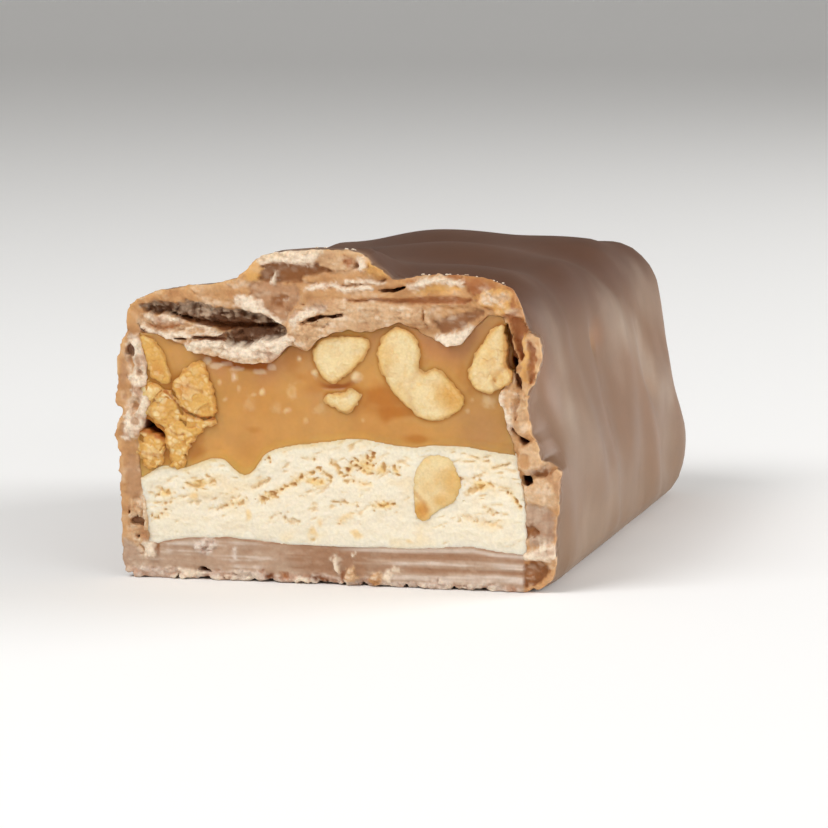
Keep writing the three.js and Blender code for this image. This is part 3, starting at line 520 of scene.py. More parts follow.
def side_reach(depth, z, side):
    """How far the left or right side stands out, folds and lean included."""
    y = depth + CUT_Y
    bend = 1.3 * np.sin(0.31 * y + 0.23 * z + side) + 0.9 * np.sin(0.17 * y - 0.31 * z + 2)
    ripple = 0.17 * np.sin(0.37 * y + 0.19 * z + 3 * side)
    if side > 0:
        ripple = ripple + 0.06 * np.sin(0.86 * y + bend)
        for fold_d, fold_z, long, wide, lean, rise in FOLDS:
            turn = np.radians(lean)
            u = (depth - fold_d) * np.sin(turn) + (z - fold_z) * np.cos(turn)
            v = (depth - fold_d) * np.cos(turn) - (z - fold_z) * np.sin(turn)
            ripple = ripple + rise * bump(u, 1.6 * long) * bump(v, 1.6 * wide)
        dent = -0.9 * bump(z - 13, 4.4) * bump(depth, 9)
    else:
        ripple = ripple + 0.25 * np.sin(0.86 * y + bend) * (0.6 + 0.4 * np.sin(0.21 * y + 0.3 * z))
        dent = 0.5 * bump(z - 12.4, 5) * bump(depth, 8)
    lean = LEAN["right" if side > 0 else "left"] * ramp(z / SHOULDER, 0.25, 1.05)
    return WIDTH / 2 + ripple * ramp(z, 0, 3) + dent - lean


def end_reach(x, z):
    ripple = 0.3 * np.sin(0.55 * x + 0.1 * z) + 0.25 * np.sin(0.8 * x - 0.35 * z + 1)
    return LENGTH + ripple * ramp(z, 0, 3) + 0.9 * bump(z - 4.5, 4.5) * ramp(x, 0, 13)


def rounded(a, b, radius):
    """The joint of two surfaces with a fillet of that radius."""
    u, v = np.maximum(a + radius, 0), np.maximum(b + radius, 0)
    return np.minimum(np.maximum(a, b), -radius) + np.hypot(u, v)


def outside(x, depth, z):
    """The coat's outer surface. Near the cut it takes the outline that the cut shows."""
    deep = np.maximum(depth, 0)
    sides = np.maximum(x - side_reach(deep, z, 1), -x - side_reach(deep, z, -1))
    tail = np.clip(deep / LENGTH, 0, 1) ** 6
    top = z - SHOULDER - top_height(x, deep) * (1 - 0.5 * tail)
    body = rounded(sides, top, ROUND_SHOULDER)
    body = rounded(body, depth - end_reach(x, z), ROUND_END)
    body = rounded(body, -z, ROUND_FOOT)
    near = 1 - ramp(depth, 0, 4.5)
    return lerp(body, outline_distance(OUTLINE, x, z), near)


def filling(x, depth, z):
    """The space that nougat and caramel fill, negative inside."""
    y = depth + CUT_Y
    near = 1 - ramp(depth, 1.5, 7)
    torn_up = 0.16 * noise(1.4 * x, 0.5, 0.5, 59) + 0.1 * noise(3.6 * x, 0.5, 0.5, 60)
    torn_across = 0.12 * noise(0.5, 0.5, 1.4 * z, 61) + 0.08 * noise(0.5, 0.5, 3.6 * z, 62)
    inner_roof = ROOF + 0.3 * np.sin(0.9 * x + 0.2 * y) + 0.4 * np.sin(0.3 * y)
    roof = lerp(inner_roof, line(ROOF_LINE, x) + torn_up, near)
    floor = lerp(BASE + 0.15 * np.sin(0.35 * x), line(BASE_LINE, x), near)
    left = -WIDTH / 2 + WALL["left"] + LEAN["left"] * ramp(z / SHOULDER, 0.3, 1)
    right = WIDTH / 2 - WALL["right"] - LEAN["right"] * ramp(z / SHOULDER, 0.2, 1)
    left = lerp(left, side_line(LEFT_LINE, z) + torn_across * (1 + 1.4 * bump(z - 13, 4.5)), near)
    right = lerp(right, side_line(RIGHT_LINE, z) + torn_across, near)
    walls = np.maximum(np.maximum(x - right, left - x), np.maximum(z - roof, floor - z))
    return np.maximum(walls, depth - LENGTH + WALL["end"])


def seam(x, depth):
    """Height of the seam between nougat and caramel."""
    y = depth + CUT_Y
    near = 1 - ramp(depth, 1, 8)
    inner = SEAM - 0.7 * (1 - ramp(x, -14, -5)) + 0.8 * bump(x - 0.5, 6) + 0.25 * np.sin(0.5 * x + 0.35 * y)
    return lerp(inner, soft_line(SEAM_LINE, x) + 0.05 * noise(1.6 * x, 0.5, 0.5, 58), near)


# ---- The broken chocolate ----
def srgb(colour):
    c = np.array(colour, float) / 255
    return np.where(c <= 0.04045, c / 12.92, ((c + 0.055) / 1.055) ** 2.4).astype(np.float32)


LINEAR = {name: srgb(colour) for name, colour in TINTS.items()}


def all_over(shape, name):
    return np.ones(tuple(shape) + (3,), np.float32) * LINEAR[name]


def paint(colour, name, weight):
    return lerp(colour, LINEAR[name], weight[..., None])


def cobbles(x, z, size_x, size_z, seed):
    """Crumbs lying against each other, from 0 between them to 1 on the tallest."""
    value, gap = facets(x, z, size_x, size_z, seed)
    return ramp(gap, 0, 0.45) * np.clip(0.5 + 0.5 * value, 0, 1)


def broken(x, z):
    """How far the broken chocolate stands out of the cut, how crumbly it is there, and its colour."""
    shift_x = 0.26 * noise(1.3 * x, 1.3 * z, 0.5, 1) + 0.16 * noise(3.3 * x, 3.3 * z, 0.5, 2)
    shift_z = 0.22 * noise(1.3 * x, 1.3 * z, 4.5, 3) + 0.13 * noise(3.3 * x, 3.3 * z, 4.5, 4)
    dither = 0.14 * noise(6.5 * x, 6.5 * z, 0.5, 41)
    state = {
        "height": np.zeros(np.shape(x), np.float32),
        "crumbly": np.full(np.shape(x), 0.3, np.float32),
        "edges": np.zeros(np.shape(x), np.float32),
        "in_slab_shade": np.zeros(np.shape(x), np.float32),
        "colour": all_over(np.shape(x), "plain"),
    }

    def lay(layers):
        for points, lift, crumb, rag, tint in layers:
            distance = outline_distance(eased(points, 1), x + rag * shift_x, z + rag * shift_z)
            inside = ramp(-distance, -0.08, 0.08)
            spread = ramp(dither - distance, -0.2, 0.16)
            rim = inside * (1 - ramp(-distance, 0.03, 0.25)) * rag
            state["height"] = lerp(state["height"], lift + 0.12 * ramp(-distance, 0, 0.7), inside)
            state["crumbly"] = lerp(state["crumbly"], crumb, spread)
            state["in_slab_shade"] = lerp(state["in_slab_shade"], float(tint == "slab_shade"), spread)
            state["colour"] = paint(state["colour"], tint, spread)
            state["edges"] = np.maximum(state["edges"] * (1 - inside), 0.6 * rim if lift > -0.3 else 0)

    lay(LAYERS)
    # The base is drawn smooth by the knife, with streaks along it and a crumbly foot.
    is_base = ramp(line(BASE_LINE, x) - z, -0.04, 0.04) * ramp(x, -14.6, -13.6) * (1 - ramp(x, 13.1, 13.3))
    level = z - FOOT + 0.2 * noise(0.25 * x, 0.5, 0.5, 42)
    streak = noise(0.22 * x, 4.2 * z, 0.5, 4) + 0.6 * noise(0.5 * x, 9.0 * z, 0.5, 5)
    streak = streak + 0.4 * noise(2.2 * x, 3.0 * z, 0.5, 43)
    streak = streak + ramp(x, 0, 4) * 1.1 * (bump(level - 1.35, 0.35) + bump(level - 0.4, 0.35))
    streak = streak - ramp(x, 0, 4) * 1.2 * (bump(level - 1.9, 0.4) + bump(level - 0.9, 0.35))
    streak = streak - 1.8 * bump(x + 0.5, 5)
    state["height"] = lerp(state["height"], 0.05 + 0.05 * streak, is_base)
    state["crumbly"] = lerp(state["crumbly"], 0.16, is_base)
    state["edges"] = state["edges"] * (1 - is_base)
    banded = paint(all_over(np.shape(x), "base"), "bloom", 0.8 * ramp(streak, 0, 1.3))
    banded = paint(banded, "deep", 0.55 * ramp(-streak, 0.1, 1.4))
    lip = line(BASE_LINE, x) - z
    banded = paint(banded, "bloom", 0.7 * bump(lip - 0.3, 0.22) * ramp(x, -1, 2))
    banded = paint(banded, "deep", 0.6 * bump(lip - 0.08, 0.14) * (1 - 0.7 * ramp(x, -1, 2)))
    state["colour"] = lerp(state["colour"], banded, is_base[..., None])
    foot_line = 0.75 + 0.3 * noise(0.35 * x, 0.5, 0.5, 3) - 0.3 * ramp(x, 0, 6)
    is_foot = ramp(foot_line + shift_z - z, -0.15, 0.15) * ramp(x, -15.9, -14.5) * (1 - ramp(x, 12.6, 13.4))
    state["height"] = state["height"] + 0.12 * is_foot
    state["crumbly"] = lerp(state["crumbly"], 0.9, is_foot)
    state["colour"] = paint(state["colour"], "bloom", 0.6 * is_foot)
    # Pits in the foot, sunk and darkened with painted shade.
    pits = is_foot * ramp(noise(1.5 * x, 1.8 * z, 0.5, 44), 0.15, 0.5)
    state["height"] = state["height"] - 0.12 * pits
    state["colour"] = paint(state["colour"], "red", 0.5 * pits)
    lay(BASE_CRUMBS)
    crumbly, colour, in_slab_shade = state["crumbly"], state["colour"], state["in_slab_shade"]
    # Facets and crumbs. On the rims of the sides they lie upright.
    upright = ramp(np.abs(x + 0.7), 12.6, 13.6) * ramp(z, 2, 3) * (1 - ramp(z, 17, 18.5))
    flat, _ = facets(x + 0.3 * z, z - 0.08 * x, 1.5, 0.6, 8)
    tall, _ = facets(z, x, 1.5, 0.6, 8)
    cobble = lerp(cobbles(x, z, 0.7, 0.42, 20), cobbles(z, x, 0.7, 0.5, 20), upright)
    grain = cobbles(x + 0.7 * shift_x, z + 0.6 * shift_z, 0.32, 0.24, 33)
    cobble = lerp(cobble, 0.35 * cobble + 0.5 * grain, in_slab_shade)
    flakes = noise(3.2 * x + 2 * shift_z, 8.0 * z, 0.5, 63)
    lumps = 0.17 * lerp(flat, tall, upright) + 0.28 * cobble + 0.09 * grain - 0.16
    height = state["height"] + crumbly * lumps
    height = height + 0.04 * crumbly * flakes
    tone = noise(0.9 * x, 1.5 * z, 0.5, 37) + 0.6 * noise(2.4 * x, 3.6 * z, 0.5, 38)
    unmarked = (1 - is_base) * (1 - in_slab_shade)
    colour = paint(colour, "deep", 0.4 * ramp(-tone, 0.1, 1.2) * unmarked)
    colour = paint(colour, "pale", 0.22 * ramp(tone, 0.1, 1.2) * unmarked)
    relief = 0.42 * cobble + 0.16 * grain + 0.26 * tone + 0.16 * flakes + 0.09
    clear = np.clip(crumbly, 0, 1) * (1 - in_slab_shade)
    # Painted shade in the low places of the relief, and pale crumbs with painted highlights on its crests.
    colour = paint(colour, "red", 0.5 * clear * ramp(0.28 - relief, 0, 0.45))
    pale_and_lit_crests = 0.85 * np.maximum(clear, 0.8 * state["edges"]) * ramp(relief, 0.2, 0.8)
    colour = paint(colour, "pale", np.clip(pale_and_lit_crests, 0, 1))
    # Pale frost of crumbs over the painted shade in the crack.
    under_slab = 0.5 * ramp(z - FOOT + 0.09 * (x + 11), 17.8, 18.7)
    frost = ramp(relief + 0.5 * noise(3.5 * x, 1.4 * z, 0.5, 45) + under_slab, 0.3, 1.0)
    colour = paint(colour, "frost", 0.85 * in_slab_shade * frost)
    for *spot, edge in HOLLOWS:
        reach = spot_reach(x, z, *spot)
        reach = reach + 0.45 * noise(1.7 * x, 1.7 * z, 0.5, 46) + 0.3 * noise(5 * x, 5 * z, 0.5, 53)
        height = height - 0.14 * (1 - ramp(reach, 0.5, 1.1))
        colour = paint(colour, "pale", edge * bump(reach - 1.35, 0.5) * ramp(tone, -0.6, 0.6))
        # Painted shade inside the hollows.
        colour = paint(colour, "dusk", 0.75 * (1 - ramp(reach, 0.5, 1.15)))
    thin = (1 - ramp(-outline_distance(OUTLINE, x, z), 0.05, 0.55)) * ramp(z, 7, 10)
    colour = paint(colour, "gold", 0.32 * thin * ramp(tone, -0.8, 0.4))
    return height, crumbly, colour


def crack_distance(points_depth, x, depth, z, rough):
    """Signed distance to a crack that narrows as it goes in, negative inside."""
    points, reach = points_depth
    return np.maximum(outline_distance(points, x, z) + 0.06 * np.maximum(depth, 0) + rough, depth - reach)


def teeth(x, z, depth):
    """Bites out of the foot and the edges of the coat where it broke."""
    near = 1 - ramp(depth, 0.2, 1.3)
    foot = 0.45 * np.maximum(noise(3.2 * x, 0.5, 1.0 * z, 6) + 0.1, 0) * (1 - ramp(z, 0.3, 1.0))
    edge = 0.09 * noise(1.6 * x, 1.5 * depth, 1.6 * z, 7) + 0.1 * noise(4 * x, 4 * depth, 4 * z, 8)
    return near * (foot + edge * ramp(z, 0, 1))


DETAIL_BAND = 1.2    # mm on either side of the surface in which the coat's fine forms are worked out


def face_of(x, z):
    """The columns of a grid, seen from in front of the cut."""
    return np.broadcast_arrays(x[:, 0, :], z[:, 0, :])


def coat(x, depth, z, detail):
    """The chocolate coat. Detail adds what only the part near the cut has."""
    outer = outside(x, depth, z)
    if not detail:
        return np.maximum(outer, -filling(x, depth, z))
    across, up = face_of(x, z)
    height, crumbly, _ = broken(across, up)
    face = -depth - height[:, None, :]
    field = np.maximum(np.maximum(outer, face), -filling(x, depth, z))
    at = np.nonzero(np.abs(field) < DETAIL_BAND)
    px, pd, pz = x[at[0], 0, 0], depth[0, at[1], 0], z[0, 0, at[2]]
    grain = crumbly[at[0], at[2]]
    rough = 0.13 * noise(2.3 * px, 2.3 * pd, 2.3 * pz, 9) + 0.08 * noise(5.5 * px, 5.5 * pd, 5.5 * pz, 10)
    wall = outer[at] + teeth(px, pz, pd)
    front = face[at] + grain * rough * 0.8
    inner = -filling(px, pd, pz)
    value = np.maximum(np.maximum(wall, front), inner)
    for crack in CRACKS:
        (lo_x, lo_z), (hi_x, hi_z) = np.min(crack[0], 0), np.max(crack[0], 0)
        close = (px > lo_x - 1) & (px < hi_x + 1) & (pz > lo_z - 1 + FOOT) & (pz < hi_z + 1 + FOOT)
        gap = crack_distance(crack, px[close], pd[close], pz[close], 0.9 * rough[close])
        value[close] = np.maximum(value[close], -gap)
    field = field.copy()
    field[at] = value
    return field


# ---- Meshing ----
CORNERS = np.array([(i, j, k) for i in (0, 1) for j in (0, 1) for k in (0, 1)])
EDGES = [(a, b) for a in range(8) for b in range(a + 1, 8) if np.abs(CORNERS[a] - CORNERS[b]).sum() == 1]


def net(field, xs, ds, zs):
    """The zero surface of a field on a grid, as points (x, depth, z) and quads."""
    inside = field < 0
    whole = inside.astype(np.int8)
    count = sum(whole[i:whole.shape[0] - 1 + i, j:whole.shape[1] - 1 + j, k:whole.shape[2] - 1 + k]
                for i, j, k in CORNERS)
    active = (count > 0) & (count < 8)
    cells = np.argwhere(active)
    ids = np.full(active.shape, -1, np.int64)
    ids[active] = np.arange(len(cells))
    values = np.stack([field[tuple((cells + corner).T)] for corner in CORNERS], 1)
    total, crossings = np.zeros((len(cells), 3)), np.zeros(len(cells))
    for a, b in EDGES:
        va, vb = values[:, a], values[:, b]
        crosses = (va < 0) != (vb < 0)
        t = (va[crosses] / (va[crosses] - vb[crosses]))[:, None]
        total[crosses] += CORNERS[a] + t * (CORNERS[b] - CORNERS[a])
        crossings[crosses] += 1
    local = total / crossings[:, None]
    points = np.stack([axis[cells[:, n]] + local[:, n] * (axis[cells[:, n] + 1] - axis[cells[:, n]])
                       for n, axis in enumerate((xs, ds, zs))], 1)
    quads = []
    for axis in range(3):
        b, c = (axis + 1) % 3, (axis + 2) % 3
        cut = [slice(None)] * 3
        cut[b], cut[c] = slice(1, -1), slice(1, -1)
        low, high = list(cut), list(cut)
        low[axis], high[axis] = slice(None, -1), slice(1, None)
        start, stop = inside[tuple(low)], inside[tuple(high)]
        for sign, mask in ((1, start & ~stop), (-1, ~start & stop)):
            at = np.argwhere(mask)
            at[:, [b, c]] += 1
            ring = []
            for db, dc in ((-1, -1), (0, -1), (0, 0), (-1, 0)):
                cell = at.copy()
                cell[:, b] += db
                cell[:, c] += dc
                ring.append(ids[tuple(cell.T)])
            quads.append(np.stack(ring[::sign], 1))
    return points, np.concatenate(quads)


def without_specks(points, quads, smallest=200):
    """Leaves out what has come loose from the piece."""
    label = np.arange(len(points))
    pairs = np.concatenate([quads[:, [0, 1]], quads[:, [1, 2]], quads[:, [2, 3]], quads[:, [3, 0]]])
    while True:
        low = np.minimum(label[pairs[:, 0]], label[pairs[:, 1]])
        fresh = label.copy()
        np.minimum.at(fresh, pairs[:, 0], low)
        np.minimum.at(fresh, pairs[:, 1], low)
        fresh = fresh[fresh]
        if (fresh == label).all():
            break
        label = fresh
    sizes = np.bincount(label, minlength=len(points))
    keep = sizes[label] >= smallest
    renumber = np.cumsum(keep) - 1
    return points[keep], renumber[quads[keep[quads[:, 0]]]]


def steps(*runs):
    """Grid positions: each run goes on to its end with its own spacing."""
    values = [runs[0][0]]
    for (start, spacing), (end, _) in zip(runs[:-1], runs[1:]):
        count = max(1, round((end - start) / spacing))
        values.extend(np.linspace(start, end, count + 1)[1:])
    return np.array(values, np.float32)


def grid(xs, ds, zs):
    return xs[:, None, None], ds[None, :, None], zs[None, None, :]


def to_part(points):
    """Points of the cut's frame in millimetres, in the part's frame in metres."""
    return (points + ORIGIN) * MM


def mark(mesh, colour, **masks):
    """Stores the painted colour and the masks that the materials read."""
    rgba = np.concatenate([colour, np.ones((len(colour), 1))], 1).astype(np.float32)
    mesh.attributes.new("tint", "FLOAT_COLOR", "POINT").data.foreach_set("color", rgba.ravel())
    for mask, values in masks.items():
        mesh.attributes.new(mask, "FLOAT", "POINT").data.foreach_set("value", values.astype(np.float32))


def show(name, data):
    """Adds an object to the scene."""
    made = bpy.data.objects.new(name, data)
    bpy.context.scene.collection.objects.link(made)
    return made


def piece(name, points, quads, material, colour, **masks):
    mesh = bpy.data.meshes.new(name)
    mesh.vertices.add(len(points))
    mesh.vertices.foreach_set("co", to_part(points).astype(np.float32).ravel())
    mesh.loops.add(4 * len(quads))
    mesh.loops.foreach_set("vertex_index", quads.astype(np.int32).ravel())
    mesh.polygons.add(len(quads))
    mesh.polygons.foreach_set("loop_start", np.arange(0, 4 * len(quads), 4, dtype=np.int32))
    mesh.polygons.foreach_set("use_smooth", np.ones(len(quads), bool))
    mesh.update(calc_edges=True)
    mesh.validate()
    mark(mesh, colour, **masks)
    mesh.materials.append(material)
    return show(name, mesh)


def join_loops(mesh):
    """Closes the gap between two stretches of a tube: the open loops pair up by size, outer ones first."""
    shape = bmesh.new()
    shape.from_mesh(mesh)
    shape.edges.index_update()
    open_edges = {edge.index: edge for edge in shape.edges if edge.is_boundary}
    loops = []
    while open_edges:
        loop, ends = [], [open_edges.pop(min(open_edges))]
        while ends:
            edge = ends.pop()
            loop.append(edge)
            for corner in edge.verts:
                for other in corner.link_edges:
                    if other.index in open_edges:
                        ends.append(open_edges.pop(other.index))
        loops.append(sorted(loop, key=lambda edge: edge.index))

    def width(loop):
        across = [corner.co.x for edge in loop for corner in edge.verts]
        return max(across) - min(across)

    loops.sort(key=width, reverse=True)
    for first, second in zip(loops[::2], loops[1::2]):
        bmesh.ops.bridge_loops(shape, edges=first + second)
    for face in shape.faces:
        face.smooth = True
    bmesh.ops.recalc_face_normals(shape, faces=shape.faces)
    shape.to_mesh(mesh)
    shape.free()


# ---- Materials ----
SKIN_ROUGHNESS, SKIN_GLOSS = 0.36, 0.2
OTHER_GLOSS = 0.3
CLOUD_SIZE = 1.6


def material(name, roughness, scatter, radius, grain, grain_depth, mottle, speckle, masked=False):
    """A food material: the colour painted on the mesh, with clouds and specks in it, grain on the surface
    and light scattered under it. Masked, it is rough and specked where the mesh is crumbly, and glossy where
    the mesh has its skin.
    """
    made = bpy.data.materials.new(name)
    made.use_nodes = True
    nodes, links = made.node_tree.nodes, made.node_tree.links
    shader = nodes["Principled BSDF"]
    shader.inputs["Subsurface Weight"].default_value = scatter
    shader.inputs["Subsurface Radius"].default_value = radius
    shader.inputs["Subsurface Scale"].default_value = MM
    shader.inputs["Roughness"].default_value = roughness
    shader.inputs["Specular IOR Level"].default_value = SKIN_GLOSS if masked else OTHER_GLOSS
    place = nodes.new("ShaderNodeTexCoord")

    def painted(mask):
        made_mask = nodes.new("ShaderNodeAttribute")
        made_mask.attribute_name = mask
        return made_mask

    def texture(size, detail):
        made_noise = nodes.new("ShaderNodeTexNoise")
        made_noise.inputs["Scale"].default_value = 1 / (size * MM)
        made_noise.inputs["Detail"].default_value = detail
        links.new(place.outputs["Object"], made_noise.inputs["Vector"])
        return made_noise.outputs["Fac"]

    def between(source, low, high, start=0.3, stop=0.7):
        spread = nodes.new("ShaderNodeMapRange")
        for socket, value in (("From Min", start), ("From Max", stop), ("To Min", low), ("To Max", high)):
            spread.inputs[socket].default_value = value
        links.new(source, spread.inputs["Value"])
        return spread.outputs["Result"]

    def combine(operation, *sources):
        maths = nodes.new("ShaderNodeMath")
        maths.operation = operation
        for source, socket in zip(sources, maths.inputs):
            if isinstance(source, float):
                socket.default_value = source
            else:
                links.new(source, socket)
        return maths.outputs[0]

    speck = texture(grain, 2)
    spots = between(speck, -speckle, speckle)
    relief = nodes.new("ShaderNodeBump")
    relief.inputs["Distance"].default_value = grain_depth * MM
    if masked:
        crumb = painted("crumb").outputs["Fac"]
        spots = combine("MULTIPLY", spots, between(crumb, 0.15, 1, 0, 1))
        links.new(between(crumb, 0.08, 1, 0, 1), relief.inputs["Strength"])
        skin = painted("skin").outputs["Fac"]
        links.new(between(skin, roughness, SKIN_ROUGHNESS, 0, 1), shader.inputs["Roughness"])
    clouds = between(texture(CLOUD_SIZE, 3), 1 - mottle, 1 + mottle)
    tone = combine("MULTIPLY", clouds, combine("ADD", spots, 1.0))
    shade = nodes.new("ShaderNodeMix")
    shade.data_type = "RGBA"
    shade.blend_type = "MULTIPLY"
    shade.inputs["Factor"].default_value = 1
    links.new(painted("tint").outputs["Color"], shade.inputs["A"])
    links.new(tone, shade.inputs["B"])
    links.new(shade.outputs["Result"], shader.inputs["Base Color"])
    links.new(speck, relief.inputs["Height"])
    links.new(relief.outputs["Normal"], shader.inputs["Normal"])
    return made


CHOCOLATE = material("chocolate", roughness=0.6, scatter=0.12, radius=(1.0, 0.55, 0.35), grain=0.2,
                     grain_depth=0.07, mottle=0.05, speckle=0.15, masked=True)
NOUGAT = material("nougat", roughness=0.7, scatter=0.45, radius=(1.0, 0.85, 0.6), grain=0.2,
                  grain_depth=0.05, mottle=0.03, speckle=0.05)
CARAMEL = material("caramel", roughness=0.33, scatter=0.7, radius=(1.6, 0.8, 0.35), grain=0.3,
                   grain_depth=0.012, mottle=0.05, speckle=0.02)
PEANUT = material("peanut", roughness=0.55, scatter=0.4, radius=(0.9, 0.6, 0.3), grain=0.16,
                  grain_depth=0.04, mottle=0.05, speckle=0.05)

# ---- The coat ----
# Painted reflections on the right side, lighter and darker: depth, height, half length, half height, slant,
# and how much lighter they are.
SHEENS = [
    (8.0, 15.5, 2.2, 5.2, 0, 0.22), (10.0, 9.0, 4.8, 4.0, 0, 0.15), (14.0, 3.5, 7.0, 2.6, -0.2, 0.14),
    (27.5, 16.0, 2.8, 4.4, 0, 0.2), (36.0, 12.5, 8.0, 2.8, 0.45, 0.19), (42.0, 9.0, 5.2, 4.2, 0.3, 0.15),
    (45.0, 17.0, 5.6, 3.6, 0, 0.14), (5.0, 15.5, 1.5, 3.5, 0, -0.22), (37.6, 10.5, 3.0, 0.9, 0.3, -0.2),
    (38.0, 5.5, 4.0, 3.4, 0, -0.14), (21.0, 9.5, 5.0, 3.6, 0, -0.1), (44.0, 13.0, 3.4, 1.6, 0, -0.12),
]

FINE, COARSE = 0.125, 0.65    # mm to a step of the grid
JOIN = 3.3    # depth at which the fine front stretch meets the coarse one behind it
front_d = steps((-1.2, FINE), (0.7, 0.2), (1.5, 0.3), (JOIN, 0))
front_x = steps((-17.4, FINE), (16.6, 0))
front_z = steps((-0.3, FINE), (24.4, 0))
front = coat(*grid(front_x, front_d, front_z), detail=True)
front_points, front_quads = without_specks(*net(front, front_x, front_d, front_z))

back_d = steps((JOIN, 0.4), (3.7, COARSE), (52.6, 0))
back_x = steps((-17.6, COARSE), (17.6, 0))
back_z = steps((-0.6, 0.3), (0.3, COARSE), (24.0, 0))
back = coat(*grid(back_x, back_d, back_z), detail=False)
back_points, back_quads = net(back, back_x, back_d, back_z)

points = np.concatenate([front_points, back_points])
quads = np.concatenate([front_quads, back_quads + len(front_points)])
px, pd, pz = points.T.astype(np.float32)
height, crumbly, cut_colour = broken(px, pz)
from_face = pd + height
skin = ramp(outside(px, pd, pz), -0.24, -0.08) * ramp(from_face, 0.15, 0.6)
hidden = 1 - skin
# Painted shade in cracks and hollows, darker the further behind the cut face.
colour = paint(cut_colour, "hollow_shade", 0.9 * ramp(from_face, 0.25, 0.8) * hidden)
colour = paint(colour, "dark", 0.9 * ramp(from_face, 0.9, 2.6) * hidden)
clouds = fractal(0.12 * px, 0.12 * pd, 0.12 * pz, 3, 12)
# The crown mask: where the top of the skin gets painted shade and less gloss.
crown = ramp(pz + 0.9 * clouds, 14.5, 20.5) * ramp(pd, 0.4, 2.0) * lerp(0.75, 1, ramp(px, -14, -6))
# Painted bounce light: the skin is lighter and greyer towards the foot.
skin_colour = paint(all_over(px.shape, "skin_lit_foot"), "skin", ramp(pz, 2, 9))
# Painted shade: the top of the skin is darker where the crown mask is.
skin_colour = paint(skin_colour, "top", crown) * (1 + 0.1 * clouds)[:, None]
smear = fractal(0.3 * pd + 0.12 * pz, 0.22 * pz - 0.1 * pd, 0.5, 3, 71)
# Painted reflections: the lighter ones in the sheen tint, the darker ones in the deep tint.
for sheen_d, sheen_z, long, high, slant, bright in SHEENS:
    turned = pz - sheen_z + slant * (pd - sheen_d)
    spread = np.hypot((pd - sheen_d) / long, turned / high) + 0.5 * smear
    weight = abs(bright) * bump(spread, 1.3) * ramp(px, 8, 13)
    skin_colour = paint(skin_colour, "sheen" if bright > 0 else "deep", weight)
# A small nick in the right side, with a patch of painted shade round it.
chip = np.hypot((pd - 21.4) / 2.0, (pz - 15.3) / 0.9) + 0.3 * noise(1.3 * px, 1.3 * pd, 1.3 * pz, 47)
shade_by_nick = np.hypot((pd - 23.5) / 3.2, (pz - 15.6) / 1.6)
skin_colour = paint(skin_colour, "deep", 0.45 * bump(shade_by_nick, 1) * ramp(px, 5, 9))
skin_colour = paint(skin_colour, "plain", 0.3 * (1 - ramp(chip, 0.1, 1.2)) * ramp(px, 5, 9))
colour = lerp(colour, skin_colour, skin[:, None])
gloss = skin * (1 - 0.75 * crown)
crumb = np.clip(crumbly * (1 - skin), 0, 1)
chocolate = piece("coat", points, quads, CHOCOLATE, colour, skin=gloss, crumb=crumb)
join_loops(chocolate.data)
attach(chocolate, "root")
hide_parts("chocolate_coat")


# ---- Nougat ----
# Rows of pores: from x, height to x, height, half width, and how brown they are.
PORE_ROWS = [
    (-11.0, 6.3, -9.1, 6.6, 0.22, 0.6), (-13.3, 5.75, -12.3, 5.6, 0.25, 0.5),
    (-12.9, 5.0, -12.5, 4.8, 0.2, 0.5), (-13.4, 4.0, -13.0, 4.35, 0.2, 0.6),
    (-8.6, 4.8, -6.7, 5.3, 0.14, 0.5), (-5.5, 5.4, -4.2, 6.2, 0.17, 0.9),
    (-4.2, 6.2, -2.7, 7.2, 0.15, 0.9), (-5.3, 8.2, -5.1, 8.2, 0.16, 1.0),
    (-4.0, 4.1, -3.1, 3.9, 0.14, 0.4), (-5.2, 4.0, -4.9, 4.0, 0.14, 0.4),
    (-2.4, 7.3, -1.6, 7.7, 0.15, 0.7), (-1.4, 7.7, -0.6, 7.2, 0.17, 0.8),
    (-2.2, 6.8, -0.8, 6.7, 0.2, 0.7), (-0.5, 8.2, 0.2, 7.3, 0.12, 0.8), (0.7, 7.6, 1.3, 8.2, 0.2, 1.0),
    (1.2, 8.1, 2.4, 8.5, 0.22, 1.0), (1.3, 7.9, 2.3, 7.7, 0.15, 0.5), (2.9, 7.9, 3.1, 7.85, 0.2, 0.8),
    (3.9, 7.8, 4.1, 7.75, 0.2, 0.7), (1.5, 6.7, 2.4, 6.7, 0.14, 0.6), (0.5, 7.0, 1.1, 6.9, 0.12, 0.5),
    (-0.4, 5.5, 1.3, 5.4, 0.09, 0.5), (2.7, 5.2, 3.8, 5.5, 0.18, 0.8), (0.2, 4.1, 0.7, 4.5, 0.2, 0.9),
    (9.0, 6.4, 9.8, 7.0, 0.2, 0.6), (9.8, 7.0, 11.0, 6.9, 0.2, 0.7), (9.6, 7.4, 8.9, 7.3, 0.12, 0.5),
    (10.4, 5.3, 11.0, 5.2, 0.12, 0.5), (9.3, 8.9, 10.8, 8.7, 0.12, 0.4),
    (12.2, 6.5, 12.9, 5.4, 0.14, 0.9), (-6.2, 6.2, -5.2, 6.8, 0.12, 0.4),
    (-9.4, 4.6, -7.6, 4.9, 0.12, 0.3), (8.6, 4.6, 10.6, 4.3, 0.12, 0.3), (-2.6, 8.5, -1.9, 8.6, 0.1, 0.5),
    (11.2, 8.4, 12.2, 8.5, 0.12, 0.4), (-11.4, 5.4, -10.3, 5.0, 0.15, 0.3),
]


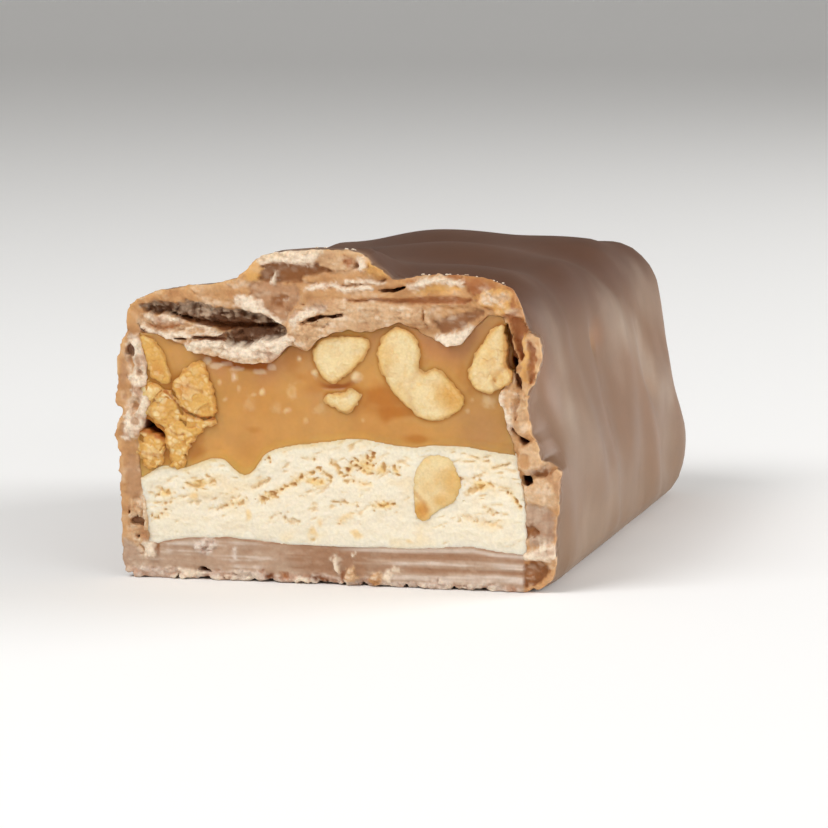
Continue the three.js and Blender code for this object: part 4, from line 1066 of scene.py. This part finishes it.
def torn(x, z):
    """Pores of the nougat, torn in rows by the knife: how deep and how brown, and how honeyed round them."""
    warp_x, warp_z = 0.3 * noise(1.2 * x, 1.2 * z, 0.5, 13), 0.25 * noise(1.2 * x, 1.2 * z, 3.5, 14)
    beads = noise(4.2 * x, 5.4 * z, 0.5, 15) + 0.6 * noise(8 * x, 9 * z, 0.5, 49)
    deep = np.zeros(np.shape(x), np.float32)
    brown = np.zeros(np.shape(x), np.float32)
    halo = np.zeros(np.shape(x), np.float32)
    for ax, az, bx, bz, wide, strength in PORE_ROWS:
        reach = line_distance([(ax, az), (bx, bz)], x + warp_x, z + warp_z) / wide
        hole = 1 - ramp(0.45 * reach + 1.25 * beads, -0.35, 0.6)
        deep = np.maximum(deep, hole)
        brown = np.maximum(brown, strength * hole)
        halo = np.maximum(halo, strength * (1 - ramp(reach + 0.8 * beads, 0.5, 2.4)))
    lie = z - 3 * np.sin(x / 9) + 0.4 * noise(0.4 * x, 0.5, 0.6 * z, 13)
    field = noise(1.5 * x, 4.4 * lie, 0.5, 16) + 0.8 * noise(3.2 * x, 8.5 * lie, 0.5, 39)
    field = field + 0.3 * noise(0.35 * x, 0.5, 0.6 * z, 17) - 0.5 * (1 - ramp(z, 3.8, 5.0))
    fine = ramp(field, 0.35, 1.2)
    return np.maximum(deep, 0.6 * fine), np.maximum(brown, 0.4 * fine), np.maximum(halo, 0.6 * fine)


SEAM_STAND = 0.02    # where nougat and caramel meet, both stand out this far
SEAM_LAP = 0.3    # and at the cut each reaches this far past the seam, sunk behind the other


def seam_lap(depth):
    """How far a layer reaches past the seam at that depth."""
    return SEAM_LAP * (1 - ramp(depth, 0.2, 1))


def nougat_height(x, z):
    deep, brown, halo = torn(x, z)
    soft = 0.09 * noise(0.7 * x, 1.5 * z, 0.5, 17) + 0.06 * noise(2.2 * x, 4.4 * z, 0.5, 18)
    over = z - seam(x, 0 * x)
    under_nut = ramp(-outline_distance(eased(NUTS["peanut_in_nougat"][0]), x, z), 0, 0.3)
    rest = lerp(SEAM_STAND, soft - 0.24 * deep + 0.04 - 0.2 * under_nut, ramp(-over, 0, 0.5))
    return rest - 0.5 * ramp(over, 0, 0.35), brown, halo


# Honey-coloured spots: x, height, half width, half height.
HONEY_SPOTS = [
    (-12.8, 5.6, 0.6, 0.3), (-6.6, 4.2, 0.25, 0.45), (-1.9, 3.1, 0.4, 0.4), (-1.4, 3.8, 0.3, 0.35),
    (1.3, 3.15, 0.45, 0.3), (3.3, 5.35, 0.6, 0.25), (5.0, 2.9, 0.3, 0.2), (-10.6, 5.5, 0.4, 0.3),
    (3.0, 7.8, 0.35, 0.3), (4.1, 7.7, 0.3, 0.3), (1.9, 7.9, 0.6, 0.4), (10.3, 6.9, 0.6, 0.3),
    (-1.7, 6.8, 0.6, 0.3), (-10.2, 6.4, 0.8, 0.25),
]

NOUGAT_STEP = 0.097
xs = steps((-15.4, NOUGAT_STEP), (14.2, 0))
zs = steps((1.9, NOUGAT_STEP), (11.2, 0))
ds = steps((-0.5, FINE), (0.6, 0.3), (1.2, 1.0), (7.2, 4.0), (51.2, 0))
x, d, z = grid(xs, ds, zs)
across, up = face_of(x, z)
tall, *_ = nougat_height(across, up)
space = filling(x, d, z) - 0.06 - 0.1 * (1 - ramp(d, 0.1, 0.9))
field = np.maximum(np.maximum(space, z - seam(x, d) - seam_lap(d)), -d - tall[:, None, :])
points, quads = without_specks(*net(field, xs, ds, zs))
px, pd, pz = points.T.astype(np.float32)
_, brown, halo = nougat_height(px, pz)
colour = all_over(px.shape, "cream")
for spot in HONEY_SPOTS:
    reach = spot_reach(px, pz, *spot) + 0.9 * noise(2.6 * px, 2.6 * pz, 0.5, 19)
    colour = paint(colour, "honey", 0.6 * (1 - ramp(reach, 0.3, 1.3)))
tan = ramp(fractal(0.5 * px, 0.8 * pz, 0.5, 3, 48), 0, 1.3)
colour = paint(colour, "honey", 0.26 * tan)
colour = paint(colour, "honey", 0.55 * halo)
colour = paint(colour, "tan", 0.7 * ramp(brown, 0.15, 0.75))
colour = paint(colour, "pore", 0.75 * ramp(brown, 0.7, 1.0))
below_seam = seam(px, pd) - pz
colour = paint(colour, "honey", lerp(0.6, 0.3, ramp(px, -2, 2)) * (1 - ramp(below_seam, -0.1, 0.45)))
nougat = piece("nougat_layer", points, quads, NOUGAT, colour)
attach(nougat, "root")
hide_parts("nougat")


# ---- Caramel ----
def nearest_nut(x, z):
    return np.minimum.reduce([outline_distance(eased(points), x, z) for points, *_ in NUTS.values()])


# Specks in the caramel: x, height, half width, half height, and how clear they are.
BITS = [
    (-8.3, 12.4, 0.14, 0.14, 0.6), (-6.5, 12.1, 0.45, 0.45, 0.3), (-3.45, 13.15, 0.36, 0.6, 0.5),
    (-3.8, 11.75, 0.26, 0.18, 0.7), (-2.4, 11.1, 0.14, 0.2, 0.4), (-8.7, 13.6, 0.1, 0.16, 0.5),
    (-2.9, 15.4, 0.18, 0.18, 0.9), (10.6, 12.8, 0.5, 0.4, 0.7), (-1.4, 11.8, 0.42, 0.4, 0.35),
    (-6.2, 12.8, 0.14, 0.12, 0.5), (-4.6, 11.9, 0.4, 0.35, 0.3), (9.2, 12.1, 0.12, 0.12, 0.5),
    (-7.5, 14.0, 0.12, 0.26, 0.5), (-7.3, 13.2, 0.1, 0.26, 0.5), (-1.75, 14.4, 0.2, 0.36, 1.0),
    (1.2, 14.15, 0.36, 0.32, 1.2), (-5.6, 13.0, 0.22, 0.18, 1.0), (1.7, 11.2, 0.1, 0.1, 0.4),
    (9.5, 12.9, 0.12, 0.12, 0.5),
]
BIT_HALO = 0.06


def near_bit(x, z, bit):
    """Distance from the middle of a speck, about 1 on its uneven rim."""
    bit_x, bit_z, wide, high = bit[:4]
    reach = spot_reach(x, z, bit_x, bit_z, wide + BIT_HALO, high + BIT_HALO)
    u, v = 0.8 * x + 0.6 * z, 0.8 * z - 0.6 * x
    return reach + 0.4 * noise(2.6 * u, 2.6 * v, 0.5, 40) + 0.2 * noise(6 * u, 6 * v, 0.5, 67)


def caramel_height(x, z):
    rest = -0.12 + 0.06 * noise(0.35 * x, 0.35 * z, 0.5, 21) + 0.03 * noise(1.1 * x, 1.1 * z, 0.5, 22)
    rim = 0.1 * (1 - ramp(nearest_nut(x, z), 0.05, 0.7))
    under_roof = line(ROOF_LINE, x) - z
    # Painted shadow: a crescent under the broken lip and another under the round nut, both sunk a little.
    shadow_crescent = ramp(x, -9.9, -8.4) * (1 - ramp(x, -5.6, -4.4)) * (1 - ramp(under_roof, 0.25, 0.75))
    below_round = z - FOOT - 13.55 - 0.1 * x - 0.14 * x * x + 0.12 * noise(1.8 * x, 1.8 * z, 0.5, 64)
    shadow_crescent = np.maximum(shadow_crescent, bump(x + 0.1, 1.9) * bump(below_round, 0.36))
    rest = rest + rim - 0.1 * shadow_crescent
    for bit in BITS:
        rest = rest + 0.14 * bit[4] * bump(near_bit(x, z, bit), 1)
    over = z - seam(x, 0 * x)
    return lerp(SEAM_STAND, rest, ramp(over, 0, 0.7)) - 0.5 * ramp(-over, 0, 0.35), shadow_crescent


# Painted highlights under the broken lip: x, height, half width, half height.
GLINTS = [
    (-8.9, 14.75, 0.35, 0.16), (-8.2, 14.9, 0.35, 0.12), (-7.4, 14.55, 0.4, 0.12),
    (-5.8, 14.4, 0.5, 0.14), (-4.9, 14.75, 0.25, 0.18), (-9.6, 15.1, 0.25, 0.2), (-7.7, 13.9, 0.15, 0.3),
]

CARAMEL_STEP = 0.102
xs = steps((-15.4, CARAMEL_STEP), (13.4, 0))
zs = steps((5.6, CARAMEL_STEP), (20.4, 0))
ds = steps((-0.4, FINE), (1.4, 0.3), (2.0, 1.0), (7.0, 4.0), (51.0, 0))
x, d, z = grid(xs, ds, zs)
across, up = face_of(x, z)
tall, _ = caramel_height(across, up)
space = filling(x, d, z) - 0.06
field = np.maximum(np.maximum(space, seam(x, d) - z - seam_lap(d)), -d - tall[:, None, :])
ragged = 0.06 * noise(3 * x, 3 * d, 3 * z, 23)
for hollow in (NUT_HOLLOW, NUT_GAP):
    field = np.maximum(field, -crack_distance(hollow, x, d, z, ragged))
points, quads = without_specks(*net(field, xs, ds, zs))
px, pd, pz = points.T.astype(np.float32)
_, shadow_crescent = caramel_height(px, pz)
nut = nearest_nut(px, pz)
colour = all_over(px.shape, "toffee")
haze = fractal(0.22 * px, 0.22 * pz, 0.5, 3, 24)
colour = paint(colour, "fudge", ramp(haze + 0.05 * (pz - 12), -0.2, 1.1))
# Painted shade in the caramel just under the chocolate roof.
shade_under_roof = bump(line(ROOF_LINE, px) - pz, 2.4) * ramp(noise(0.5 * px, 0.5 * pz, 0.5, 65), -0.6, 0.5)
colour = paint(colour, "mauve_shade", 0.8 * shade_under_roof)
warm = ramp(-haze + 0.5 * bump(px + 6.5, 4) - 0.3, -0.2, 1.0)
colour = paint(colour, "orange", 0.3 * warm)
# Warmer orange patches of the caramel; those below the round nut and the kidney are painted shade:
# x, height, half width, half height, strength.
WARM_AND_SHADED_PATCHES = [
    (3.4, 12.6, 2.8, 1.1, 0.9), (4.6, 11.9, 1.6, 0.6, 0.8), (-1.8, 13.7, 1.4, 1.0, 0.4),
    (5.7, 10.0, 1.2, 0.3, 0.7), (5.6, 15.4, 0.7, 1.2, 0.4), (9.0, 14.4, 0.7, 1.0, 0.4),
    (-6.2, 10.2, 0.7, 0.3, 0.4), (-10.6, 9.0, 0.7, 1.2, 0.6), (-3.4, 15.2, 1.0, 1.6, 0.4),
    (0.3, 13.5, 1.6, 0.7, 0.45), (9.4, 13.4, 0.6, 0.5, 0.4),
]
for *spot, strength in WARM_AND_SHADED_PATCHES:
    reach = spot_reach(px, pz, *spot) + 0.3 * haze + 0.4 * noise(1.3 * px, 2.2 * pz, 0.5, 66)
    colour = paint(colour, "orange", strength * (1 - ramp(reach, 0.2, 1.2)))
colour = paint(colour, "orange", 0.85 * (1 - ramp(nut, 0.0, 0.36)))
above_seam = pz - seam(px, pd)
gilt = 1 - ramp(above_seam, -0.1, 0.7 + 1.6 * bump(px + 6.9, 2.2) - 0.3 * ramp(px, 0, 4))
colour = paint(colour, "syrup", (0.55 + 0.35 * bump(px + 6.9, 2.4)) * gilt * (1 - 0.5 * ramp(px, 0, 5)))
warm_edge = 0.6 * (1 - ramp(above_seam, 0.0, 0.3))
colour = paint(colour, "peach", warm_edge)
for bit in BITS:
    clear = 0.6 * bit[4] * (1 - ramp(near_bit(px, pz, bit), 0.3, 1.3))
    colour = paint(colour, "bit", clear)
# The third of them is a ring: its middle is as brown as the caramel round it.
ring = near_bit(px, pz, (-3.45, 13.15, 0.2, 0.36))
colour = paint(colour, "toffee", 0.6 * (1 - ramp(ring, 0.3, 1.1)))
colour = colour * (1 - 0.13 * ramp(px, 6.5, 10))[:, None]
left_cluster = (1 - ramp(px, -12.2, -10.6)) * (1 - ramp(pz, 14.0, 15.2)) * ramp(pz, 7.5, 9)
colour = paint(colour, "orange", 0.95 * left_cluster)
# Painted shadow in the crescents.
colour = paint(colour, "amber_shade", np.clip(1.3 * shadow_crescent, 0, 1))
# Painted highlights under the broken lip.
for glint in GLINTS:
    colour = paint(colour, "glint", 0.34 * (1 - ramp(near_bit(px, pz, glint), 0.5, 1.2)))
# Painted shade on the caramel further behind the cut face.
colour = paint(colour, "amber_shade", ramp(pd - 0.6, 0, 0.8))
caramel = piece("caramel_layer", points, quads, CARAMEL, colour)
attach(caramel, "root")
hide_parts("caramel")

# ---- Peanuts ----
# Creases and cracks of the nuts: their course, half width, depth, and how dark their painted shade is.
CREASES = [
    ([(5.75, 14.8), (5.3, 14.2), (5.05, 13.3), (5.2, 12.5), (5.6, 11.9)], 0.35, 0.05, 0.15),
    ([(5.4, 6.4), (5.8, 5.9), (6.1, 5.6), (6.3, 5.1)], 0.25, 0.03, 0.35),
    ([(-10.9, 13.3), (-10.4, 13.1), (-9.9, 12.9)], 0.22, 0.05, 0.5),
    ([(-12.6, 12.9), (-12.1, 12.4), (-11.7, 11.9), (-11.4, 11.3)], 0.17, 0.14, 1.0),
    ([(-12.2, 10.1), (-11.7, 9.8), (-11.3, 9.9)], 0.15, 0.08, 0.5),
    ([(-14.3, 8.5), (-13.7, 8.3), (-13.0, 8.3)], 0.2, 0.06, 0.5),
    ([(-14.5, 10.1), (-13.7, 9.95), (-12.8, 9.5)], 0.38, 0.12, 1.0),
    ([(-9.1, 11.05), (-10.0, 11.1), (-10.9, 11.35), (-11.4, 11.7)], 0.2, 0.1, 1.0),
    ([(11.9, 15.2), (11.3, 14.8), (11.0, 14.2), (11.2, 13.6)], 0.3, 0.05, 0.3),
]


def creased(x, z):
    """How deep the creases of the nuts are, and how dark the shade painted in them is."""
    deep, dark = np.zeros(np.shape(x), np.float32), np.zeros(np.shape(x), np.float32)
    for course, wide, depth, shade in CREASES:
        close = bump(line_distance(course, x, z) + 0.1 * noise(3.5 * x, 3.5 * z, 0.5, 54), wide)
        deep, dark = np.maximum(deep, depth * close), np.maximum(dark, shade * close)
    return deep, dark


def nut_chips(x, z):
    """The broken facets of a nut."""
    shift_x = 0.4 * noise(1.9 * x, 1.9 * z, 0.5, 68)
    shift_z = 0.4 * noise(1.9 * x, 1.9 * z, 3.5, 68)
    return facets(x + shift_x, z + shift_z, 0.8, 0.6, 26)


NUT_STEP, NUT_MARGIN = 0.07, 0.4
NUT_BACK = 3.4    # depth at which a nut ends
# Where the pale nuts turn golden: x, height, reach across and up, strength.
BLUSHES = [
    (8.3, 13.2, 1.6, 1.6, 0.9), (3.4, 15.4, 1.0, 1.4, 0.3), (1.6, 15.0, 0.8, 0.9, 0.4),
    (11.4, 14.4, 0.8, 0.7, 0.6), (8.2, 7.0, 0.9, 1.6, 0.6), (5.9, 5.0, 0.9, 1.0, 1.3),
    (7.3, 5.8, 0.8, 0.6, 0.7), (10.6, 15.9, 0.6, 1.2, 0.3),
]

for number, (name, (outline, stand, crumb)) in enumerate(NUTS.items()):
    (low_x, low_z), (high_x, high_z) = np.min(outline, 0), np.max(outline, 0)
    xs = steps((low_x - NUT_MARGIN, NUT_STEP), (high_x + NUT_MARGIN, 0))
    zs = steps((low_z + FOOT - NUT_MARGIN, NUT_STEP), (high_z + FOOT + NUT_MARGIN, 0))
    ds = steps((-0.9, NUT_STEP), (0.7, 0.3), (3.7, 0))
    x, d, z = grid(xs, ds, zs)
    across, up = face_of(x, z)
    soft = eased(outline)
    ragged = (0.07 + 0.12 * crumb) * noise(1.8 * across, 1.8 * up, 0.5, 30 + number)
    ragged = ragged + (0.06 + 0.08 * crumb) * noise(4.2 * across, 4.2 * up, 0.5, 31)
    edge = outline_distance(soft, across, up) + ragged - 0.05 - 0.08 * crumb
    chips, gap = nut_chips(across, up)
    grains, _ = facets(across, up, 0.3, 0.25, 33)
    tall = stand + 0.06 * noise(1.2 * across, 1.2 * up, 0.5, 31) + crumb * (0.13 * chips + 0.045 * grains)
    tall = tall + 0.05 * crumb * noise(3.4 * across, 3.4 * up, 0.5, 70)
    tall = tall - 0.04 * crumb * bump(gap, 0.1) - creased(across, up)[0]
    round_off = 0.15 * (1 - np.sqrt(1 - np.clip(1 + edge / 0.3, 0, 1) ** 2))
    side = edge[:, None, :] + 0.05 * np.maximum(d, 0) ** 2
    field = np.maximum(side, -d - (tall - round_off)[:, None, :])
    field = np.maximum(field, d - NUT_BACK)
    field = field + 0.03 * crumb * noise(6 * x, 6 * d, 6 * z, 34)
    points, quads = without_specks(*net(field, xs, ds, zs), smallest=60)
    px, pd, pz = points.T.astype(np.float32)
    inside = -outline_distance(soft, px, pz)
    blush = fractal(0.5 * px, 0.5 * pz, 0.5 + number, 2, 35)
    # The broken nut at the left is golden, the others are pale.
    golden = name.startswith("peanut_left")
    ground, flush, strongest = ("golden", "toast", 0.9) if golden else ("kernel", "golden", 0.55)
    colour = paint(all_over(px.shape, ground), flush, strongest * ramp(blush, -0.1, 0.9))
    for *spot, strength in BLUSHES:
        reach = spot_reach(px, pz, *spot)
        colour = paint(colour, "golden", np.clip(strength, 0, 1) * (1 - ramp(reach, 0.2, 1.2)))
        colour = paint(colour, "toast", max(strength - 0.5, 0) * (1 - ramp(reach, 0, 1)))
    chips, _ = nut_chips(px, pz)
    chips = chips + 0.5 * noise(3.1 * px, 3.1 * pz, 0.5, 69)
    # Paler on the high facets and toasted on the low ones: painted highlights and painted shade.
    colour = paint(colour, "blanched", 0.4 * crumb * ramp(chips, 0.1, 0.9))
    colour = paint(colour, "toast", 0.4 * crumb * ramp(-chips, 0.1, 0.9))
    crumbs = cobbles(px, pz, 0.5, 0.4, 26)
    at_edge = crumb * (1 - 0.75 * ramp(inside, 0.1, 0.7))
    # The crumbly edge: pale crumbs with painted highlights on top, and painted shade between them.
    colour = paint(colour, "blanched", at_edge * ramp(crumbs + 0.4 * blush, 0.3, 0.8))
    colour = paint(colour, "toast", 0.7 * at_edge * (1 - ramp(crumbs + 0.4 * blush, -0.1, 0.2)))
    specks = noise(3.2 * px, 3.2 * pz, 0.5, 55) + 0.5 * noise(7 * px, 7 * pz, 0.5, 56)
    colour = paint(colour, "golden", 0.3 * ramp(specks, 0, 1))
    buried = name == "peanut_in_nougat"
    colour = paint(colour, "golden", (0.2 if buried else 0.6) * (1 - ramp(inside, 0.0, 0.45)))
    colour = paint(colour, "husk", (0.1 if buried else 0.5) * (1 - ramp(inside, 0.0, 0.14)))
    # Painted shade in the creases and cracks.
    colour = paint(colour, "crease_shade", 0.9 * creased(px, pz)[1])
    nut = piece(name + "_meat", points, quads, PEANUT, colour)
    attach(nut, "root")
    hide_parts(name)

# ---- Loose crumbs on the top behind the cut, and on its ledges ----
# How many, between which x, and between which depths.
CRUMB_RUNS = [(22, (4.5, 11.6), (0.4, 2.4)), (5, (-3.0, 1.0), (0.4, 1.6))]
CRUMB_SIZES = (0.04, 0.11)
CRUMB_SHAPE = np.array([1.3, 1.1, 0.7])
dice = np.random.default_rng(8)
ball = bmesh.new()
bmesh.ops.create_icosphere(ball, subdivisions=2, radius=1)
ball_points = np.array([v.co[:] for v in ball.verts])
ball_faces = np.array([[v.index for v in f.verts] for f in ball.faces])
ball.free()
crumb_points, crumb_faces = [], []
for count, (left, right), (fore, aft) in CRUMB_RUNS:
    for _ in range(count):
        cx, cd = dice.uniform(left, right), dice.uniform(fore, aft)
        size = dice.uniform(*CRUMB_SIZES) * CRUMB_SHAPE
        around = np.hypot(front_points[:, 0] - cx, front_points[:, 1] - cd) < 0.2
        if not around.any():
            continue
        top = front_points[around, 2].max()
        lumps = 1 + 0.35 * noise(*(1.7 * ball_points.T + dice.uniform(0, 40, 3)[:, None]), 51)
        placed = ball_points * lumps[:, None] * size + [cx, cd, top + 0.2 * size[2]]
        crumb_faces.append(ball_faces + sum(map(len, crumb_points)))
        crumb_points.append(placed)
crumb_points, crumb_faces = np.concatenate(crumb_points), np.concatenate(crumb_faces)
flecks = bpy.data.meshes.new("loose_crumbs")
flecks.from_pydata(to_part(crumb_points).tolist(), [], crumb_faces.tolist())
fleck_tone = ramp(noise(*(0.9 * crumb_points.T), 52), -0.5, 0.5)
fleck_colour = lerp(LINEAR["deep"], LINEAR["pale"], fleck_tone[:, None])
mark(flecks, fleck_colour, crumb=np.ones(len(crumb_points)))
flecks.materials.append(CHOCOLATE)
loose_crumbs = show("loose_crumbs", flecks)
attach(loose_crumbs, "root")

# ---- Floor, light and camera ----
# The floor curves up into a wall behind the bar.
FLOOR_HALF = 2.5
floor_mesh = bpy.data.meshes.new("floor")
turns = np.linspace(0, np.pi / 2, 25)
profile = [(-1.5, 0.0)] + [(1.0 + 0.6 * np.sin(t), 0.6 - 0.6 * np.cos(t)) for t in turns] + [(1.6, 2.0)]
rows = [(x, y, z) for y, z in profile for x in (-FLOOR_HALF, FLOOR_HALF)]
floor_mesh.from_pydata(rows, [], [(2 * n, 2 * n + 1, 2 * n + 3, 2 * n + 2) for n in range(len(profile) - 1)])
floor_mesh.polygons.foreach_set("use_smooth", [True] * len(floor_mesh.polygons))
floor = show("floor", floor_mesh)
pale = bpy.data.materials.new("pale_floor")
pale.use_nodes = True
paper = pale.node_tree.nodes["Principled BSDF"].inputs
paper["Base Color"].default_value = (0.95, 0.945, 0.935, 1)
paper["Roughness"].default_value = 0.9
floor_mesh.materials.append(pale)

world = bpy.data.worlds.new("studio")
world.use_nodes = True
sky = world.node_tree.nodes["Background"].inputs
sky["Color"].default_value = (1.0, 0.985, 0.96, 1)
sky["Strength"].default_value = 0.35
bpy.context.scene.world = world


def softbox(name, place, size, power, aim=(0, -0.02, 0.01)):
    lamp = bpy.data.lights.new(name, "AREA")
    lamp.shape = "RECTANGLE"
    lamp.size, lamp.size_y = size
    lamp.energy = power
    made = show(name, lamp)
    made.location = place
    made.rotation_euler = (Vector(aim) - Vector(place)).to_track_quat("-Z", "Y").to_euler()


softbox("key", (-0.22, -0.3, 0.42), (0.3, 0.3), 1.84)
softbox("side", (0.5, 0.3, 0.22), (0.4, 0.4), 2.8)
softbox("front", (0.45, -0.35, 0.12), (0.4, 0.3), 0.85)

EYE = np.array([68.9, -257.9, 45.2 + FOOT]) + ORIGIN
AIM = np.array([3.4, 8.0, 11.2]) + ORIGIN
camera = show("camera", bpy.data.cameras.new("camera"))
camera.data.lens = 168
camera.data.sensor_width = 36
camera.location = EYE * MM
camera.rotation_euler = Vector((AIM - EYE) * MM).to_track_quat("-Z", "Y").to_euler()
camera.data.clip_start, camera.data.clip_end = 0.01, 30
bpy.context.scene.camera = camera
bpy.context.scene.view_settings.view_transform = "Standard"
